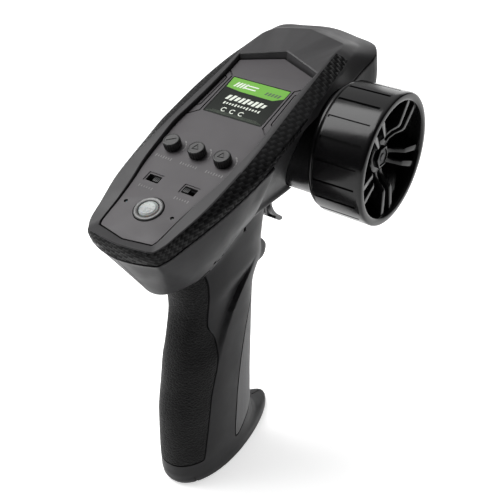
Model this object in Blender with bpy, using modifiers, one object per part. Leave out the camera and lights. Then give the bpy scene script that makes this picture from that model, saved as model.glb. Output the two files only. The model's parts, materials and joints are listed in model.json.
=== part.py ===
"""Pistol-grip radio transmitter with a steering wheel and a throttle trigger.

World frame: +Z up, +Y towards the front of the head, +X towards the steering wheel.
The origin is on the flat underside of the foot. All dimensions below are in millimetres.

Head frame: u across, v along the control panel towards the front, h above the panel.
Its origin is the centre of the power button, and it is pitched up towards the front.
"""
import math

import bmesh
import bpy
from mathutils import Matrix, Vector

MM = 0.001

# Driving dimensions ----------------------------------------------------------------------
HEAD_PITCH = math.radians(18.45)
BUTTON_Y, BUTTON_Z = -40.0, 156.2
WALL = 1.8                 # head shell
GRIP_WALL = 3.2            # grip shell, thick enough to carry the inset grip pads
GAP = 0.35                 # clearance between neighbouring mouldings
SPLIT_GAP = 0.3            # between the two housing halves
PAD_THICKNESS = 1.6        # textured grip pads
PANEL_THICKNESS = 2.0

WHEEL_Y, WHEEL_Z = 53.7, 155.6
WHEEL_RADIUS = 30.0
WHEEL_BACK, WHEEL_FACE = 32.2, 59.0
WHEEL_GROOVES = 20
GROOVE_START = math.radians(5.1)      # angles run from +Y towards +Z
GROOVE_WIDTH, GROOVE_DEPTH = 1.3, 0.7
WHEEL_SPOKES = 5
SPOKE_START = math.radians(54.0)
NUT_RADIUS = 3.9                      # over the corners of the hexagon
BOSS_RADIUS = 24.7
BOSS_FACE = 31.6
SHAFT_RADIUS = 2.0

TRIGGER_Y, TRIGGER_Z = 38.0, 141.5
TRIGGER_WIDTH = 9.0
TRIGGER_PIN_RADIUS = 1.5

KNOB_SPACING = 13.0
KNOB_V = 33.6
KNOB_RADIUS, KNOB_HEIGHT = 3.8, 4.1
SWITCH_U, SWITCH_V = 9.1, 15.0
SWITCH_SLOT = (6.6, 3.6)
SWITCH_TRAVEL = 2.6
LED_U, LED_V = 11.9, 0.0
POWER_RADIUS, POWER_RING_RADIUS = 4.6, 6.3
LABEL_SIZE = (30.0, 24.0)
LABEL_V = 70.0

CELL_RADIUS, CELL_LENGTH = 5.0, 44.5
BATTERY_Y = -10.0
BOARD_TOP = -7.0           # h of the circuit board's upper face
BOARD_THICKNESS = 1.6
SCREWS = ((-36.0, 132.0), (86.0, 166.0), (16.0, 122.0), (8.0, 73.3), (8.0, 57.7))   # y, z

COS, SIN = math.cos(HEAD_PITCH), math.sin(HEAD_PITCH)


# Materials -------------------------------------------------------------------------------
FINISHES = {                # colour, roughness, metallic
    "shell": ((0.045, 0.045, 0.048), 0.45, 0.0),
    "panel": ((0.17, 0.165, 0.17), 0.55, 0.0),
    "pad": ((0.018, 0.018, 0.019), 0.75, 0.0),
    "gloss": ((0.012, 0.012, 0.013), 0.22, 0.0),
    "label": ((0.05, 0.06, 0.05), 0.35, 0.0),
    "knob": ((0.02, 0.02, 0.02), 0.5, 0.0),
    "button": ((0.62, 0.62, 0.6), 0.3, 0.0),
    "chrome": ((0.7, 0.7, 0.7), 0.25, 1.0),
    "steel": ((0.55, 0.55, 0.56), 0.35, 1.0),
    "board": ((0.02, 0.16, 0.06), 0.5, 0.0),
    "part": ((0.03, 0.03, 0.035), 0.5, 0.0),
    "cell": ((0.1, 0.12, 0.16), 0.35, 0.2),
    "brass": ((0.7, 0.5, 0.2), 0.35, 1.0),
    "led": ((0.75, 0.8, 0.78), 0.15, 0.0),
}


def finish(obj, name):
    """Give an object its own material."""
    colour, roughness, metallic = FINISHES[name]
    material = bpy.data.materials.new(obj.name + "_" + name)
    material.use_nodes = True
    shader = material.node_tree.nodes["Principled BSDF"]
    shader.inputs["Base Color"].default_value = (*colour, 1.0)
    shader.inputs["Roughness"].default_value = roughness
    shader.inputs["Metallic"].default_value = metallic
    obj.data.materials.clear()
    obj.data.materials.append(material)


# Building blocks -------------------------------------------------------------------------
def clear_scene():
    for obj in list(bpy.data.objects):
        bpy.data.objects.remove(obj, do_unlink=True)


def head_point(u, v, h):
    """World point, in millimetres, of a point in the head frame."""
    return (u, BUTTON_Y + v * COS - h * SIN, BUTTON_Z + v * SIN + h * COS)


def link(obj, collection):
    collection.objects.link(obj)
    return obj


def object_from(name, points, faces, matrix=None):
    """Closed mesh object from millimetre points, with its faces turned outwards."""
    bm = bmesh.new()
    verts = [bm.verts.new([c * MM for c in p]) for p in points]
    for face in faces:
        bm.faces.new([verts[i] for i in face])
    bmesh.ops.recalc_face_normals(bm, faces=bm.faces)
    mesh = bpy.data.meshes.new(name)
    bm.to_mesh(mesh)
    bm.free()
    obj = bpy.data.objects.new(name, mesh)
    if matrix is not None:
        obj.matrix_world = matrix
    return link(obj, PARTS)


def ring_stack(name, rings, uneven=False):
    """Closed body through rings of equal length.

    Flat end rings are closed by one face. Uneven ones are closed by strips from side to side,
    which needs rings made by mirrored().
    """
    count = len(rings[0])
    points = [p for ring in rings for p in ring]
    faces = []
    for r in range(len(rings) - 1):
        for i in range(count):
            j = (i + 1) % count
            faces.append((r * count + i, r * count + j, (r + 1) * count + j, (r + 1) * count + i))
    for start in (0, (len(rings) - 1) * count):
        if not uneven:
            faces.append(tuple(range(start, start + count)))
            continue
        for i in range(count // 2):
            strip = (i, i + 1, (count - i - 1) % count, (count - i) % count)
            faces.append([start + k for k in dict.fromkeys(strip)])
    return object_from(name, points, faces)


def frame_loft(name, sections):
    """Closed frame through section polygons that follow one another around a loop."""
    count, total = len(sections[0]), len(sections)
    points = [p for section in sections for p in section]
    faces = []
    for s in range(total):
        t = (s + 1) % total
        for i in range(count):
            j = (i + 1) % count
            faces.append((s * count + i, s * count + j, t * count + j, t * count + i))
    return object_from(name, points, faces)


def prism(name, outline, low, high, matrix=None):
    """Flat outline in x and y, extruded from low to high."""
    count = len(outline)
    points = [(x, y, low) for x, y in outline] + [(x, y, high) for x, y in outline]
    faces = [tuple(range(count)), tuple(range(count, 2 * count))]
    for i in range(count):
        j = (i + 1) % count
        faces.append((i, j, count + j, count + i))
    return object_from(name, points, faces, matrix)


def box(name, low, high, matrix=None):
    """Box between two corners."""
    bm = bmesh.new()
    size = [(b - a) * MM for a, b in zip(low, high)]
    centre = [(a + b) / 2 * MM for a, b in zip(low, high)]
    place = Matrix.Translation(centre) @ Matrix.Diagonal((*size, 1.0))
    bmesh.ops.create_cube(bm, size=1.0, matrix=place)
    mesh = bpy.data.meshes.new(name)
    bm.to_mesh(mesh)
    bm.free()
    obj = bpy.data.objects.new(name, mesh)
    if matrix is not None:
        obj.matrix_world = matrix
    return link(obj, PARTS)


def cylinder(name, radius, start, end, segments=32, end_radius=None, matrix=None):
    """Cylinder or cone between two points."""
    a, b = Vector(start) * MM, Vector(end) * MM
    turn = (b - a).to_track_quat("Z", "Y").to_matrix().to_4x4()
    bm = bmesh.new()
    bmesh.ops.create_cone(
        bm, cap_ends=True, segments=segments, radius1=radius * MM,
        radius2=(radius if end_radius is None else end_radius) * MM, depth=(b - a).length,
        matrix=Matrix.Translation((a + b) / 2) @ turn)
    mesh = bpy.data.meshes.new(name)
    bm.to_mesh(mesh)
    bm.free()
    obj = bpy.data.objects.new(name, mesh)
    if matrix is not None:
        obj.matrix_world = matrix
    return link(obj, PARTS)


def turned(name, profile, matrix, segments=48, closed=True):
    """Profile of (radius, height) pairs turned about the local Z axis.

    The profile runs down the outer side; a closed one makes a ring.
    """
    mesh = bpy.data.meshes.new(name)
    count = len(profile)
    edges = [(i, (i + 1) % count) for i in range(count if closed else count - 1)]
    mesh.from_pydata([(r * MM, 0.0, z * MM) for r, z in profile], edges, [])
    obj = link(bpy.data.objects.new(name, mesh), PARTS)
    obj.matrix_world = matrix
    screw = obj.modifiers.new("turn", "SCREW")
    screw.steps = screw.render_steps = segments
    screw.use_merge_vertices = True
    screw.merge_threshold = 0.00001
    screw.use_smooth_shade = True
    return obj


def bake(obj):
    """Replace an object's mesh by its evaluated one."""
    bpy.context.view_layer.update()
    evaluated = obj.evaluated_get(bpy.context.evaluated_depsgraph_get())
    mesh = bpy.data.meshes.new_from_object(evaluated)
    obj.modifiers.clear()
    obj.data = mesh
    return obj


def combine(target, others, operation, solver="EXACT"):
    """Boolean of the target with other objects, which are used up."""
    for other in others:
        CUTTERS.objects.link(other)
        PARTS.objects.unlink(other)
        other.hide_render = True
        other.display_type = "WIRE"
        modifier = target.modifiers.new(operation.lower(), "BOOLEAN")
        modifier.operation = operation
        modifier.solver = solver
        modifier.object = other
    bake(target)
    for other in others:
        bpy.data.objects.remove(other, do_unlink=True)
    return target


def cut(target, *cutters, solver="EXACT"):
    return combine(target, cutters, "DIFFERENCE", solver)


def fuse(target, *pieces, solver="EXACT"):
    return combine(target, pieces, "UNION", solver)


def copy_of(obj, name):
    twin = bpy.data.objects.new(name, obj.data.copy())
    twin.matrix_world = obj.matrix_world
    return link(twin, PARTS)


def set_origin(obj, point):
    """Move an object's origin to a world point, in millimetres, leaving its shape in place."""
    bpy.context.view_layer.update()
    world = obj.matrix_world.copy()
    place = Matrix.Translation(Vector(point) * MM) @ world.to_quaternion().to_matrix().to_4x4()
    obj.data.transform(place.inverted() @ world)
    obj.matrix_world = place


def shade(obj, angle=35.0):
    """Smooth shading with sharp edges above an angle."""
    obj.data.shade_smooth()
    obj.data.set_sharp_from_angle(angle=math.radians(angle))


def mirrored(half):
    """Whole loop of points from a half loop that starts and ends at x = 0."""
    return list(half) + [(-p[0], *p[1:]) for p in reversed(half[1:-1])]


def mix(a, b, t):
    return tuple(x + (y - x) * t for x, y in zip(a, b))


def along_x(x, y, z):
    """Frame whose local Z runs along world +X from a point."""
    place = Matrix.Translation(Vector((x, y, z)) * MM)
    return place @ Matrix.Rotation(math.pi / 2, 4, "Y")


# Head outline ----------------------------------------------------------------------------
# Half stations from the rear apex round the right side to the front apex, in the head frame:
# panel edge (u, v), inner rim (u, v, h), bezel edge, foot of the textured band, parting line.
STATIONS = (
    ((0.0, -16.7), (0.0, -17.2, 0.3), (0.0, -21.1, 2.0), (0.0, -22.4, -2.0), (0.0, -23.2, -4.6)),
    ((13.2, -14.5), (13.4, -15.0, 0.3), (14.8, -19.6, 2.0), (15.2, -20.2, -2.0), (14.9, -20.1, -5.2)),
    ((14.0, -12.5), (14.4, -12.9, 0.3), (16.2, -18.3, 0.9), (16.8, -18.8, -3.1), (17.0, -19.0, -5.7)),
    ((14.3, -9.5), (14.7, -9.6, 0.3), (18.2, -15.0, 0.9), (18.5, -16.0, -3.1), (18.6, -16.6, -5.7)),
    ((15.0, -1.0), (15.4, -1.0, 0.5), (20.5, -5.9, 1.1), (21.8, -6.6, -2.9), (22.1, -6.8, -5.2)),
    ((16.3, 9.0), (16.7, 9.0, 0.9), (23.1, 7.1, 1.7), (26.3, 9.3, -1.9), (26.7, 10.5, -4.6)),
    ((18.8, 22.0), (19.2, 22.0, 1.4), (24.0, 20.0, 2.0), (28.4, 21.6, -1.8), (28.8, 22.5, -4.6)),
    ((20.1, 35.0), (20.5, 35.0, 1.8), (24.1, 32.0, 2.0), (29.8, 34.6, -1.9), (30.0, 35.0, -4.6)),
    ((20.9, 46.0), (21.3, 46.0, 2.0), (23.8, 45.0, 2.0), (30.4, 45.3, -1.3), (30.0, 46.0, -4.6)),
    ((20.3, 57.0), (20.7, 57.0, 2.0), (23.3, 56.0, 2.0), (30.5, 56.4, -1.3), (29.4, 56.0, -5.0)),
    ((19.6, 70.0), (20.0, 70.0, 2.0), (22.5, 70.0, 2.0), (30.2, 69.8, -1.3), (29.1, 69.0, -6.4)),
    ((19.5, 84.0), (19.9, 84.0, 2.0), (21.9, 84.0, 2.0), (29.3, 84.6, -1.6), (29.0, 83.0, -8.0)),
    ((19.6, 93.3), (20.4, 95.3, 2.0), (21.4, 96.0, 2.1), (27.8, 97.7, -2.2), (28.9, 95.5, -9.6)),
    ((16.0, 94.7), (16.6, 96.9, 2.1), (20.3, 108.9, 1.3), (25.8, 110.6, -3.4), (28.8, 107.5, -10.9)),
    ((12.0, 96.3), (12.4, 98.6, 2.2), (19.8, 115.0, 0.3), (24.8, 116.4, -3.6), (29.0, 119.0, -11.0)),
    ((9.0, 97.4), (9.3, 99.8, 2.3), (18.6, 120.4, -1.2), (23.9, 121.3, -4.6), (29.0, 130.6, -11.0)),
    ((6.0, 98.6), (6.2, 101.1, 2.4), (17.8, 121.0, -1.2), (22.1, 127.9, -6.7), (26.9, 135.0, -11.0)),
    ((3.0, 99.7), (3.1, 102.3, 2.5), (10.0, 121.4, 0.5), (11.3, 130.0, -5.5), (13.6, 139.6, -11.0)),
    ((0.0, 100.9), (0.0, 103.6, 2.5), (0.0, 123.5, 0.6), (0.0, 132.5, -5.5), (0.0, 141.8, -11.0)),
)

# Lower corner of the head shell below each station, in world x, y, z.
LOWER_CORNERS = (
    (0.0, -41.0, 116.2), (9.0, -38.0, 118.8), (10.6, -36.4, 119.8), (12.6, -33.0, 120.2),
    (14.8, -26.6, 120.8), (15.2, -16.0, 124.5), (15.2, -6.0, 130.0), (15.2, 3.0, 133.6),
    (15.2, 12.0, 134.2), (15.2, 22.0, 134.2), (15.2, 33.0, 134.2), (15.2, 45.0, 134.6),
    (15.6, 58.0, 136.2), (16.5, 70.0, 139.0), (18.0, 80.0, 143.0), (19.5, 87.5, 147.0),
    (17.0, 90.5, 148.0), (9.0, 92.5, 148.6), (0.0, 93.5, 149.0),
)

# How far the side of the head shell bulges outwards below each station.
BULGES = (0.0, 0.0, 0.0, 0.8, 1.6, 2.2, 2.4, 2.0, 0.8, 0.0, 0.0, 0.0, 0.6, 2.0, 3.4, 4.2, 4.4, 4.4, 4.4)


def towards(a, b, distance):
    """Point at a distance from a towards b, in plan; other coordinates are kept."""
    dx, dy = b[0] - a[0], b[1] - a[1]
    length = math.hypot(dx, dy)
    return (a[0] + dx / length * distance, a[1] + dy / length * distance, *a[2:])


def cover_section(station):
    """Cross-section of the top cover at one station: rim, bezel, band, skirt and panel ledge."""
    edge, rim, bezel, band, parting = station
    seat = -PANEL_THICKNESS - GAP
    edge = (*edge, seat)
    outer = towards(edge, parting, GAP)
    lip = towards(edge, parting, -1.8)
    thick = towards(edge, parting, 1.9)
    under = rim[2] - 1.9
    section = [
        outer, rim, bezel, band, parting,
        towards(parting, edge, WALL),
        (*towards(band, edge, WALL)[:2], band[2] - 0.8),
        (*towards(bezel, edge, 1.2)[:2], bezel[2] - 2.0),
        (*thick[:2], under),
        (*thick[:2], seat - 1.8),
        (*lip[:2], seat - 1.8),
        lip,
    ]
    return [head_point(*p) for p in section]


def shell_rings(inset=0.0, floor=0.0):
    """Rings of the lower head shell from its parting line down to its underside."""
    rings = [[] for _ in range(7)]
    for station, corner, bulge in zip(STATIONS, LOWER_CORNERS, BULGES):
        u, v, h = station[4]
        top = head_point(u, v, h - GAP)
        centre = (0.0, min(max(top[1], -20.0), 70.0), 0.0)
        if inset:
            top = towards(top, centre, inset)
            corner = (*towards(corner, centre, inset)[:2], corner[2] + floor)
        inner = towards(corner, centre, 3.0)
        for index, t in enumerate((0.0, 0.25, 0.5, 0.75, 0.93)):
            point = mix(top, corner, t)
            swell = bulge * math.sin(math.pi * t)
            rings[index].append(towards(point, centre, -swell) if swell > 0.01 else point)
        rings[5].append((*mix(corner, inner, 0.35)[:2], corner[2] + 0.5))
        rings[6].append(inner)
    return [mirrored(ring) for ring in rings]


# Grip sections: height, half width, widest y, rear depth, front depth, rear and front powers.
GRIP_SECTIONS = (
    (0.0, 14.9, -6.0, 29.8, 46.0, 2.2, 1.9),
    (1.0, 15.3, -6.0, 30.6, 46.4, 2.2, 1.9),
    (4.0, 15.3, -6.0, 31.8, 46.0, 2.3, 1.9),
    (6.5, 15.2, -6.5, 31.8, 40.0, 2.3, 2.0),
    (9.0, 15.1, -7.5, 30.9, 33.8, 2.3, 2.2),
    (13.0, 15.0, -9.0, 29.6, 30.5, 2.25, 2.4),
    (20.0, 15.0, -10.2, 28.3, 29.7, 2.25, 2.5),
    (40.0, 15.0, -9.9, 28.0, 29.1, 2.2, 2.5),
    (60.0, 15.0, -8.0, 26.3, 27.5, 2.2, 2.5),
    (80.0, 15.0, -5.8, 24.4, 25.7, 2.2, 2.5),
    (96.0, 15.0, -3.4, 22.5, 23.9, 2.2, 2.5),
    (101.0, 15.1, -2.6, 23.7, 25.2, 2.2, 2.5),
    (106.0, 15.2, -0.6, 26.4, 28.0, 2.2, 2.5),
    (112.0, 15.2, -0.8, 27.1, 28.7, 2.2, 2.5),
    (125.0, 15.2, 1.3, 27.0, 28.3, 2.4, 2.5),
    (136.0, 15.2, 3.0, 28.0, 28.0, 2.5, 2.5),
)
RING_POINTS = 32


def grip_at(z):
    """Section of the grip at any height, read between the listed ones."""
    sections = GRIP_SECTIONS
    for low, high in zip(sections, sections[1:]):
        if low[0] <= z <= high[0]:
            return mix(low, high, (z - low[0]) / (high[0] - low[0]))
    return sections[-1]


def grip_point(z, angle, inset=0.0):
    """Point on the grip; angle 0 is the right side, 90 degrees the front, -90 the rear."""
    _, width, middle, rear, front, rear_power, front_power = grip_at(z)
    c, s = math.cos(angle), math.sin(angle)
    depth, power = (front, front_power) if s >= 0 else (rear, rear_power)
    width, depth = width - inset, depth - inset
    scale = (abs(c / width) ** power + abs(s / depth) ** power) ** (-1.0 / power)
    return (c * scale, middle + s * scale, z)


def grip_ring(z, inset=0.0, longest_front=None):
    """Ring round the grip, with points closest where the section turns fastest."""
    ring = []
    for i in range(RING_POINTS):
        turn = 2 * math.pi * i / RING_POINTS
        angle = math.atan2(1.7 * math.sin(turn), math.cos(turn))
        x, y, _ = grip_point(z, angle, inset)
        if longest_front is not None:
            y = min(y, longest_front)
        ring.append((x, y, z))
    return ring


def grip_pad(name, heights, angles, outer, inner):
    """Curved slab that follows the grip between two angles given as functions of height."""
    steps = 12
    rings = []
    for z in heights:
        start, end = angles(z)
        sweep = [start + (end - start) * i / steps for i in range(steps + 1)]
        ring = [grip_point(z, a, outer) for a in sweep]
        ring += [grip_point(z, a, inner) for a in reversed(sweep)]
        rings.append(ring)
    return ring_stack_flat(name, rings)


def ring_stack_flat(name, rings):
    """Body through C-shaped rings: the ends are closed strip by strip."""
    count = len(rings[0])
    points = [p for ring in rings for p in ring]
    faces = []
    for r in range(len(rings) - 1):
        for i in range(count):
            j = (i + 1) % count
            faces.append((r * count + i, r * count + j, (r + 1) * count + j, (r + 1) * count + i))
    half = count // 2
    for base in (0, (len(rings) - 1) * count):
        for i in range(half - 1):
            faces.append((base + i, base + i + 1, base + count - 2 - i, base + count - 1 - i))
    return object_from(name, points, faces)


REAR_PAD = (14.5, 111.0)       # lowest and highest z
FRONT_PAD = (16.0, 90.0)


def angle_at(z, y, inset=0.0):
    """Angle on the right side of the grip at which its surface has a given y."""
    low, high = -math.pi / 2, math.pi / 2
    for _ in range(40):
        middle = (low + high) / 2
        if grip_point(z, middle, inset)[1] < y:
            low = middle
        else:
            high = middle
    return low


def rear_pad_edge(z):
    """World y of the rear pad's side edge at a height."""
    knots = ((14.5, -26.9), (31.0, -24.5), (51.0, -21.6), (65.0, -18.2), (82.0, -18.6),
             (98.0, -18.6), (111.0, -18.6))
    return interpolate(knots, z)


def front_pad_edge(z):
    """World y of the front pad's side edge at a height."""
    knots = ((12.0, -2.0), (20.0, -4.0), (45.0, -1.0), (60.0, 2.0), (76.0, 6.0), (90.0, 12.0))
    return interpolate(knots, z)


def interpolate(knots, value):
    if value <= knots[0][0]:
        return knots[0][1]
    for (a, p), (b, q) in zip(knots, knots[1:]):
        if value <= b:
            return p + (q - p) * (value - a) / (b - a)
    return knots[-1][1]


def rear_angles(widen):
    def angles(z):
        edge = angle_at(z, rear_pad_edge(z)) + widen
        return edge, -math.pi - edge
    return angles


def front_angles(widen):
    def angles(z):
        edge = angle_at(z, front_pad_edge(z)) - widen
        return edge, math.pi - edge
    return angles


def levels(low, high, count):
    return [low + (high - low) * i / (count - 1) for i in range(count)]


# Housing ---------------------------------------------------------------------------------
def make_outer_body():
    """Solid outer form of the lower housing: head shell, neck, grip, finger rest and foot."""
    body = ring_stack("housing_right", shell_rings(), uneven=True)
    grip = ring_stack("grip_form", [grip_ring(section[0]) for section in GRIP_SECTIONS])
    rest = ellipsoid("finger_rest", (0.0, 25.0, 101.5), (11.0, 12.0, 6.5))
    return fuse(body, grip, rest, solver="MANIFOLD")


def ellipsoid(name, centre, radii):
    bm = bmesh.new()
    place = Matrix.Translation(Vector(centre) * MM) @ Matrix.Diagonal((*[r * MM for r in radii], 1.0))
    bmesh.ops.create_uvsphere(bm, u_segments=20, v_segments=12, radius=1.0, matrix=place)
    mesh = bpy.data.meshes.new(name)
    bm.to_mesh(mesh)
    bm.free()
    return link(bpy.data.objects.new(name, mesh), PARTS)


def make_housings():
    """Right and left housing halves, hollow, with screw posts, pad pockets and openings."""
    right = make_outer_body()
    rings = shell_rings(WALL, WALL)
    lifted = [(x * 0.97, y - 4.0 * SIN, z + 4.0) for x, y, z in rings[0]]
    head_hollow = ring_stack("head_hollow", [lifted] + rings, uneven=True)
    heights = (2.2, 9.0, 20.0, 40.0, 60.0, 80.0, 96.0, 106.0, 125.0, 138.0)
    hollow = ring_stack(
        "grip_hollow", [grip_ring(z, GRIP_WALL, 19.0 if z < 100 else None) for z in heights])
    fuse(hollow, head_hollow, solver="MANIFOLD")
    posts = [cylinder("post", 3.6, (-40.0, y, z), (40.0, y, z), 12) for y, z in SCREWS]
    posts += [cylinder("trigger_post", 3.6, (side * 6.0, TRIGGER_Y, TRIGGER_Z),
                       (side * 40.0, TRIGGER_Y, TRIGGER_Z), 14) for side in (-1, 1)]
    posts += [box("post_rib", (min(side * 6.0, side * 12.6), TRIGGER_Y - 3.6, 131.0),
                  (max(side * 6.0, side * 12.6), TRIGGER_Y + 3.6, TRIGGER_Z)) for side in (-1, 1)]
    for post in posts:
        cut(hollow, post, solver="MANIFOLD")
    cut(right, hollow, solver="MANIFOLD")
    rear_levels = levels(REAR_PAD[0] - GAP, REAR_PAD[1] + GAP, 13)
    front_levels = levels(FRONT_PAD[0] - GAP, FRONT_PAD[1] + GAP, 11)
    cut(right,
        grip_pad("rear_pocket", rear_levels, rear_angles(0.02), -1.0, PAD_THICKNESS + GAP),
        grip_pad("front_pocket", front_levels, front_angles(0.025), -1.0, PAD_THICKNESS + GAP),
        box("battery_mouth", (-11.7, -23.6, -1.0), (11.7, 3.6, 3.0)),
        box("trigger_slot", (-5.6, 28.5, 128.0), (5.6, 56.0, 138.5)),
        box("trigger_relief", (-5.6, 25.4, 114.0), (5.6, 34.0, 138.5)),
        cylinder("boss_opening", BOSS_RADIUS + GAP, (13.0, WHEEL_Y, WHEEL_Z),
                 (40.0, WHEEL_Y, WHEEL_Z), 48),
        cylinder("pin_bore", TRIGGER_PIN_RADIUS + 0.05, (-9.5, TRIGGER_Y, TRIGGER_Z),
                 (9.5, TRIGGER_Y, TRIGGER_Z), 24), solver="MANIFOLD")
    for y, z in SCREWS:
        cut(right, cylinder("head_recess", 3.0, (-40.0, y, z), (-8.0, y, z), 16),
            cylinder("screw_bore", 1.55, (-9.0, y, z), (9.2, y, z), 10), solver="MANIFOLD")
    left = copy_of(right, "housing_left")
    half = SPLIT_GAP / 2
    cut(right, box("keep_right", (-60.0, -80.0, -10.0), (half, 130.0, 230.0)), solver="MANIFOLD")
    cut(left, box("keep_left", (-half, -80.0, -10.0), (60.0, 130.0, 230.0)), solver="MANIFOLD")
    for obj in (right, left):
        finish(obj, "shell")
        shade(obj)
    return right, left


def make_pads():
    rear = grip_pad("rear_grip_pad", levels(*REAR_PAD, 13), rear_angles(0.0), 0.0, PAD_THICKNESS)
    front = grip_pad("front_grip_pad", levels(*FRONT_PAD, 11), front_angles(0.0), 0.0,
                     PAD_THICKNESS)
    for pad in (rear, front):
        finish(pad, "pad")
        shade(pad)


def make_top_cover():
    half = [cover_section(station) for station in STATIONS]
    other = [[(-x, y, z) for x, y, z in section] for section in reversed(half[1:-1])]
    cover = frame_loft("top_cover", half + other)
    cut(cover, cylinder("boss_opening", BOSS_RADIUS + GAP, (13.0, WHEEL_Y, WHEEL_Z),
                        (40.0, WHEEL_Y, WHEEL_Z), 48))
    finish(cover, "shell")
    shade(cover)


# Control panel ---------------------------------------------------------------------------
def head_matrix():
    return Matrix.Translation(Vector((0.0, BUTTON_Y, BUTTON_Z)) * MM) @ Matrix.Rotation(
        HEAD_PITCH, 4, "X")


def rounded_rectangle(width, height, radius, centre=(0.0, 0.0), steps=4):
    points = []
    for corner, (sx, sy) in enumerate(((1, 1), (-1, 1), (-1, -1), (1, -1))):
        cx = centre[0] + sx * (width / 2 - radius)
        cy = centre[1] + sy * (height / 2 - radius)
        for i in range(steps + 1):
            angle = math.pi / 2 * (corner + i / steps)
            points.append((cx + radius * math.cos(angle), cy + radius * math.sin(angle)))
    return points


BOARD_POSTS = ((0.0, 22.0), (0.0, 44.0))      # u, v


def make_panel(place):
    outline = mirrored([station[0] for station in STATIONS])
    panel = prism("control_panel", outline, -PANEL_THICKNESS, 0.0, place)
    posts = [cylinder("board_post", 2.4, (u, v, -1.0), (u, v, BOARD_TOP + GAP), 20, matrix=place)
             for u, v in BOARD_POSTS]
    fuse(panel, *posts)
    cutters = [cylinder("power_hole", POWER_RING_RADIUS + GAP, (0, 0, -4), (0, 0, 2), 40,
                        matrix=place)]
    for side in (-1, 1):
        centre = (side * SWITCH_U, SWITCH_V)
        cutters.append(prism("slot", rounded_rectangle(*SWITCH_SLOT, 0.4, centre), -4.0, 2.0, place))
        cutters.append(cylinder("led_hole", 0.9, (side * LED_U, LED_V, -4), (side * LED_U, LED_V, 2),
                                16, matrix=place))
    for index in (-1, 0, 1):
        u = index * KNOB_SPACING
        cutters.append(cylinder("knob_hole", 2.2, (u, KNOB_V, -4), (u, KNOB_V, 2), 24, matrix=place))
    for u, v in BOARD_POSTS:
        cutters.append(cylinder("post_bore", 1.0, (u, v, -9.0), (u, v, -2.5), 16, matrix=place))
    label = rounded_rectangle(LABEL_SIZE[0] + 0.6, LABEL_SIZE[1] + 0.6, 0.8, (0.0, LABEL_V))
    cutters.append(prism("label_recess", label, -0.6, 2.0, place))
    cut(panel, *cutters)
    finish(panel, "panel")
    plate = prism("label_plate", rounded_rectangle(*LABEL_SIZE, 0.6, (0.0, LABEL_V)), -0.28, 0.05,
                  place)
    finish(plate, "label")


def make_power_button(place):
    ring = turned("power_button_ring",
                  [(POWER_RING_RADIUS - 0.3, 0.55), (POWER_RING_RADIUS, 0.25),
                   (POWER_RING_RADIUS, -3.4), (POWER_RADIUS + 0.3, -3.4), (POWER_RADIUS + 0.3, 0.3),
                   (POWER_RADIUS + 0.6, 0.55)], place, 36)
    finish(ring, "chrome")
    button = turned("power_button",
                    [(0.0, 1.0), (2.8, 0.85), (4.1, 0.5), (POWER_RADIUS, 0.0),
                     (POWER_RADIUS, -2.4), (1.2, -2.4), (1.2, -4.6), (0.0, -4.6)],
                    place, 32, closed=False)
    finish(button, "button")
    switch = box("power_switch", (-3.0, -3.0, BOARD_TOP + GAP), (3.0, 3.0, -6.0), place)
    fuse(switch, cylinder("plunger", 1.1, (0, 0, -6.2), (0, 0, -5.7), 20, matrix=place))
    finish(switch, "part")


def make_knobs(place):
    for index in (-1, 0, 1):
        u = index * KNOB_SPACING
        number = index + 2
        knob = toothed_knob("trim_knob_%d" % number, u, place)
        finish(knob, "knob")
        pot = box("trim_pot_%d" % number, (u - 4.6, KNOB_V - 4.6, BOARD_TOP + GAP),
                  (u + 4.6, KNOB_V + 4.6, -3.2), place)
        cut(pot, cylinder("pot_bore", 1.7, (u, KNOB_V, -5.8), (u, KNOB_V, 0.0), 24, matrix=place))
        finish(pot, "part")


def toothed_knob(name, u, place):
    """Trim knob with a fluted side, a chamfered top and a shaft that turns in its pot."""
    flutes = 18

    def circle(h, radius, groove=0.0):
        ring = []
        for i in range(flutes * 2):
            angle = math.pi * (i + 0.5) / flutes
            reach = radius - (groove if i % 2 else 0.0)
            ring.append((u + reach * math.cos(angle), KNOB_V + reach * math.sin(angle), h))
        return ring

    knob = ring_stack(name, [
        circle(-5.4, 1.5), circle(GAP, 1.5), circle(GAP, KNOB_RADIUS, 0.22),
        circle(KNOB_HEIGHT - 0.4, KNOB_RADIUS, 0.22), circle(KNOB_HEIGHT, KNOB_RADIUS - 0.55)])
    knob.matrix_world = place
    cut(knob, box("pointer", (u - 0.3, KNOB_V - 0.2, KNOB_HEIGHT - 0.35),
                  (u + 0.3, KNOB_V + 3.0, KNOB_HEIGHT + 1.0), place))
    set_origin(knob, head_point(u, KNOB_V, 0.0))
    return knob


def make_switches(place):
    for side, name in ((-1, "left"), (1, "right")):
        centre = side * SWITCH_U
        body = box("switch_body_" + name, (centre - 5.0, SWITCH_V - 2.6, BOARD_TOP + GAP),
                   (centre + 5.0, SWITCH_V + 2.6, -PANEL_THICKNESS - GAP), place)
        cut(body, box("channel", (centre - 3.6, SWITCH_V - 1.5, -4.6),
                      (centre + 3.6, SWITCH_V + 1.5, 0.0), place))
        finish(body, "part")
        rest = centre - side * SWITCH_TRAVEL / 2
        slider = box("switch_slider_" + name, (rest - 1.4, SWITCH_V - 1.2, -4.3),
                     (rest + 1.4, SWITCH_V + 1.2, -0.3), place)
        finish(slider, "knob")
        set_origin(slider, head_point(rest, SWITCH_V, 0.0))


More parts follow.
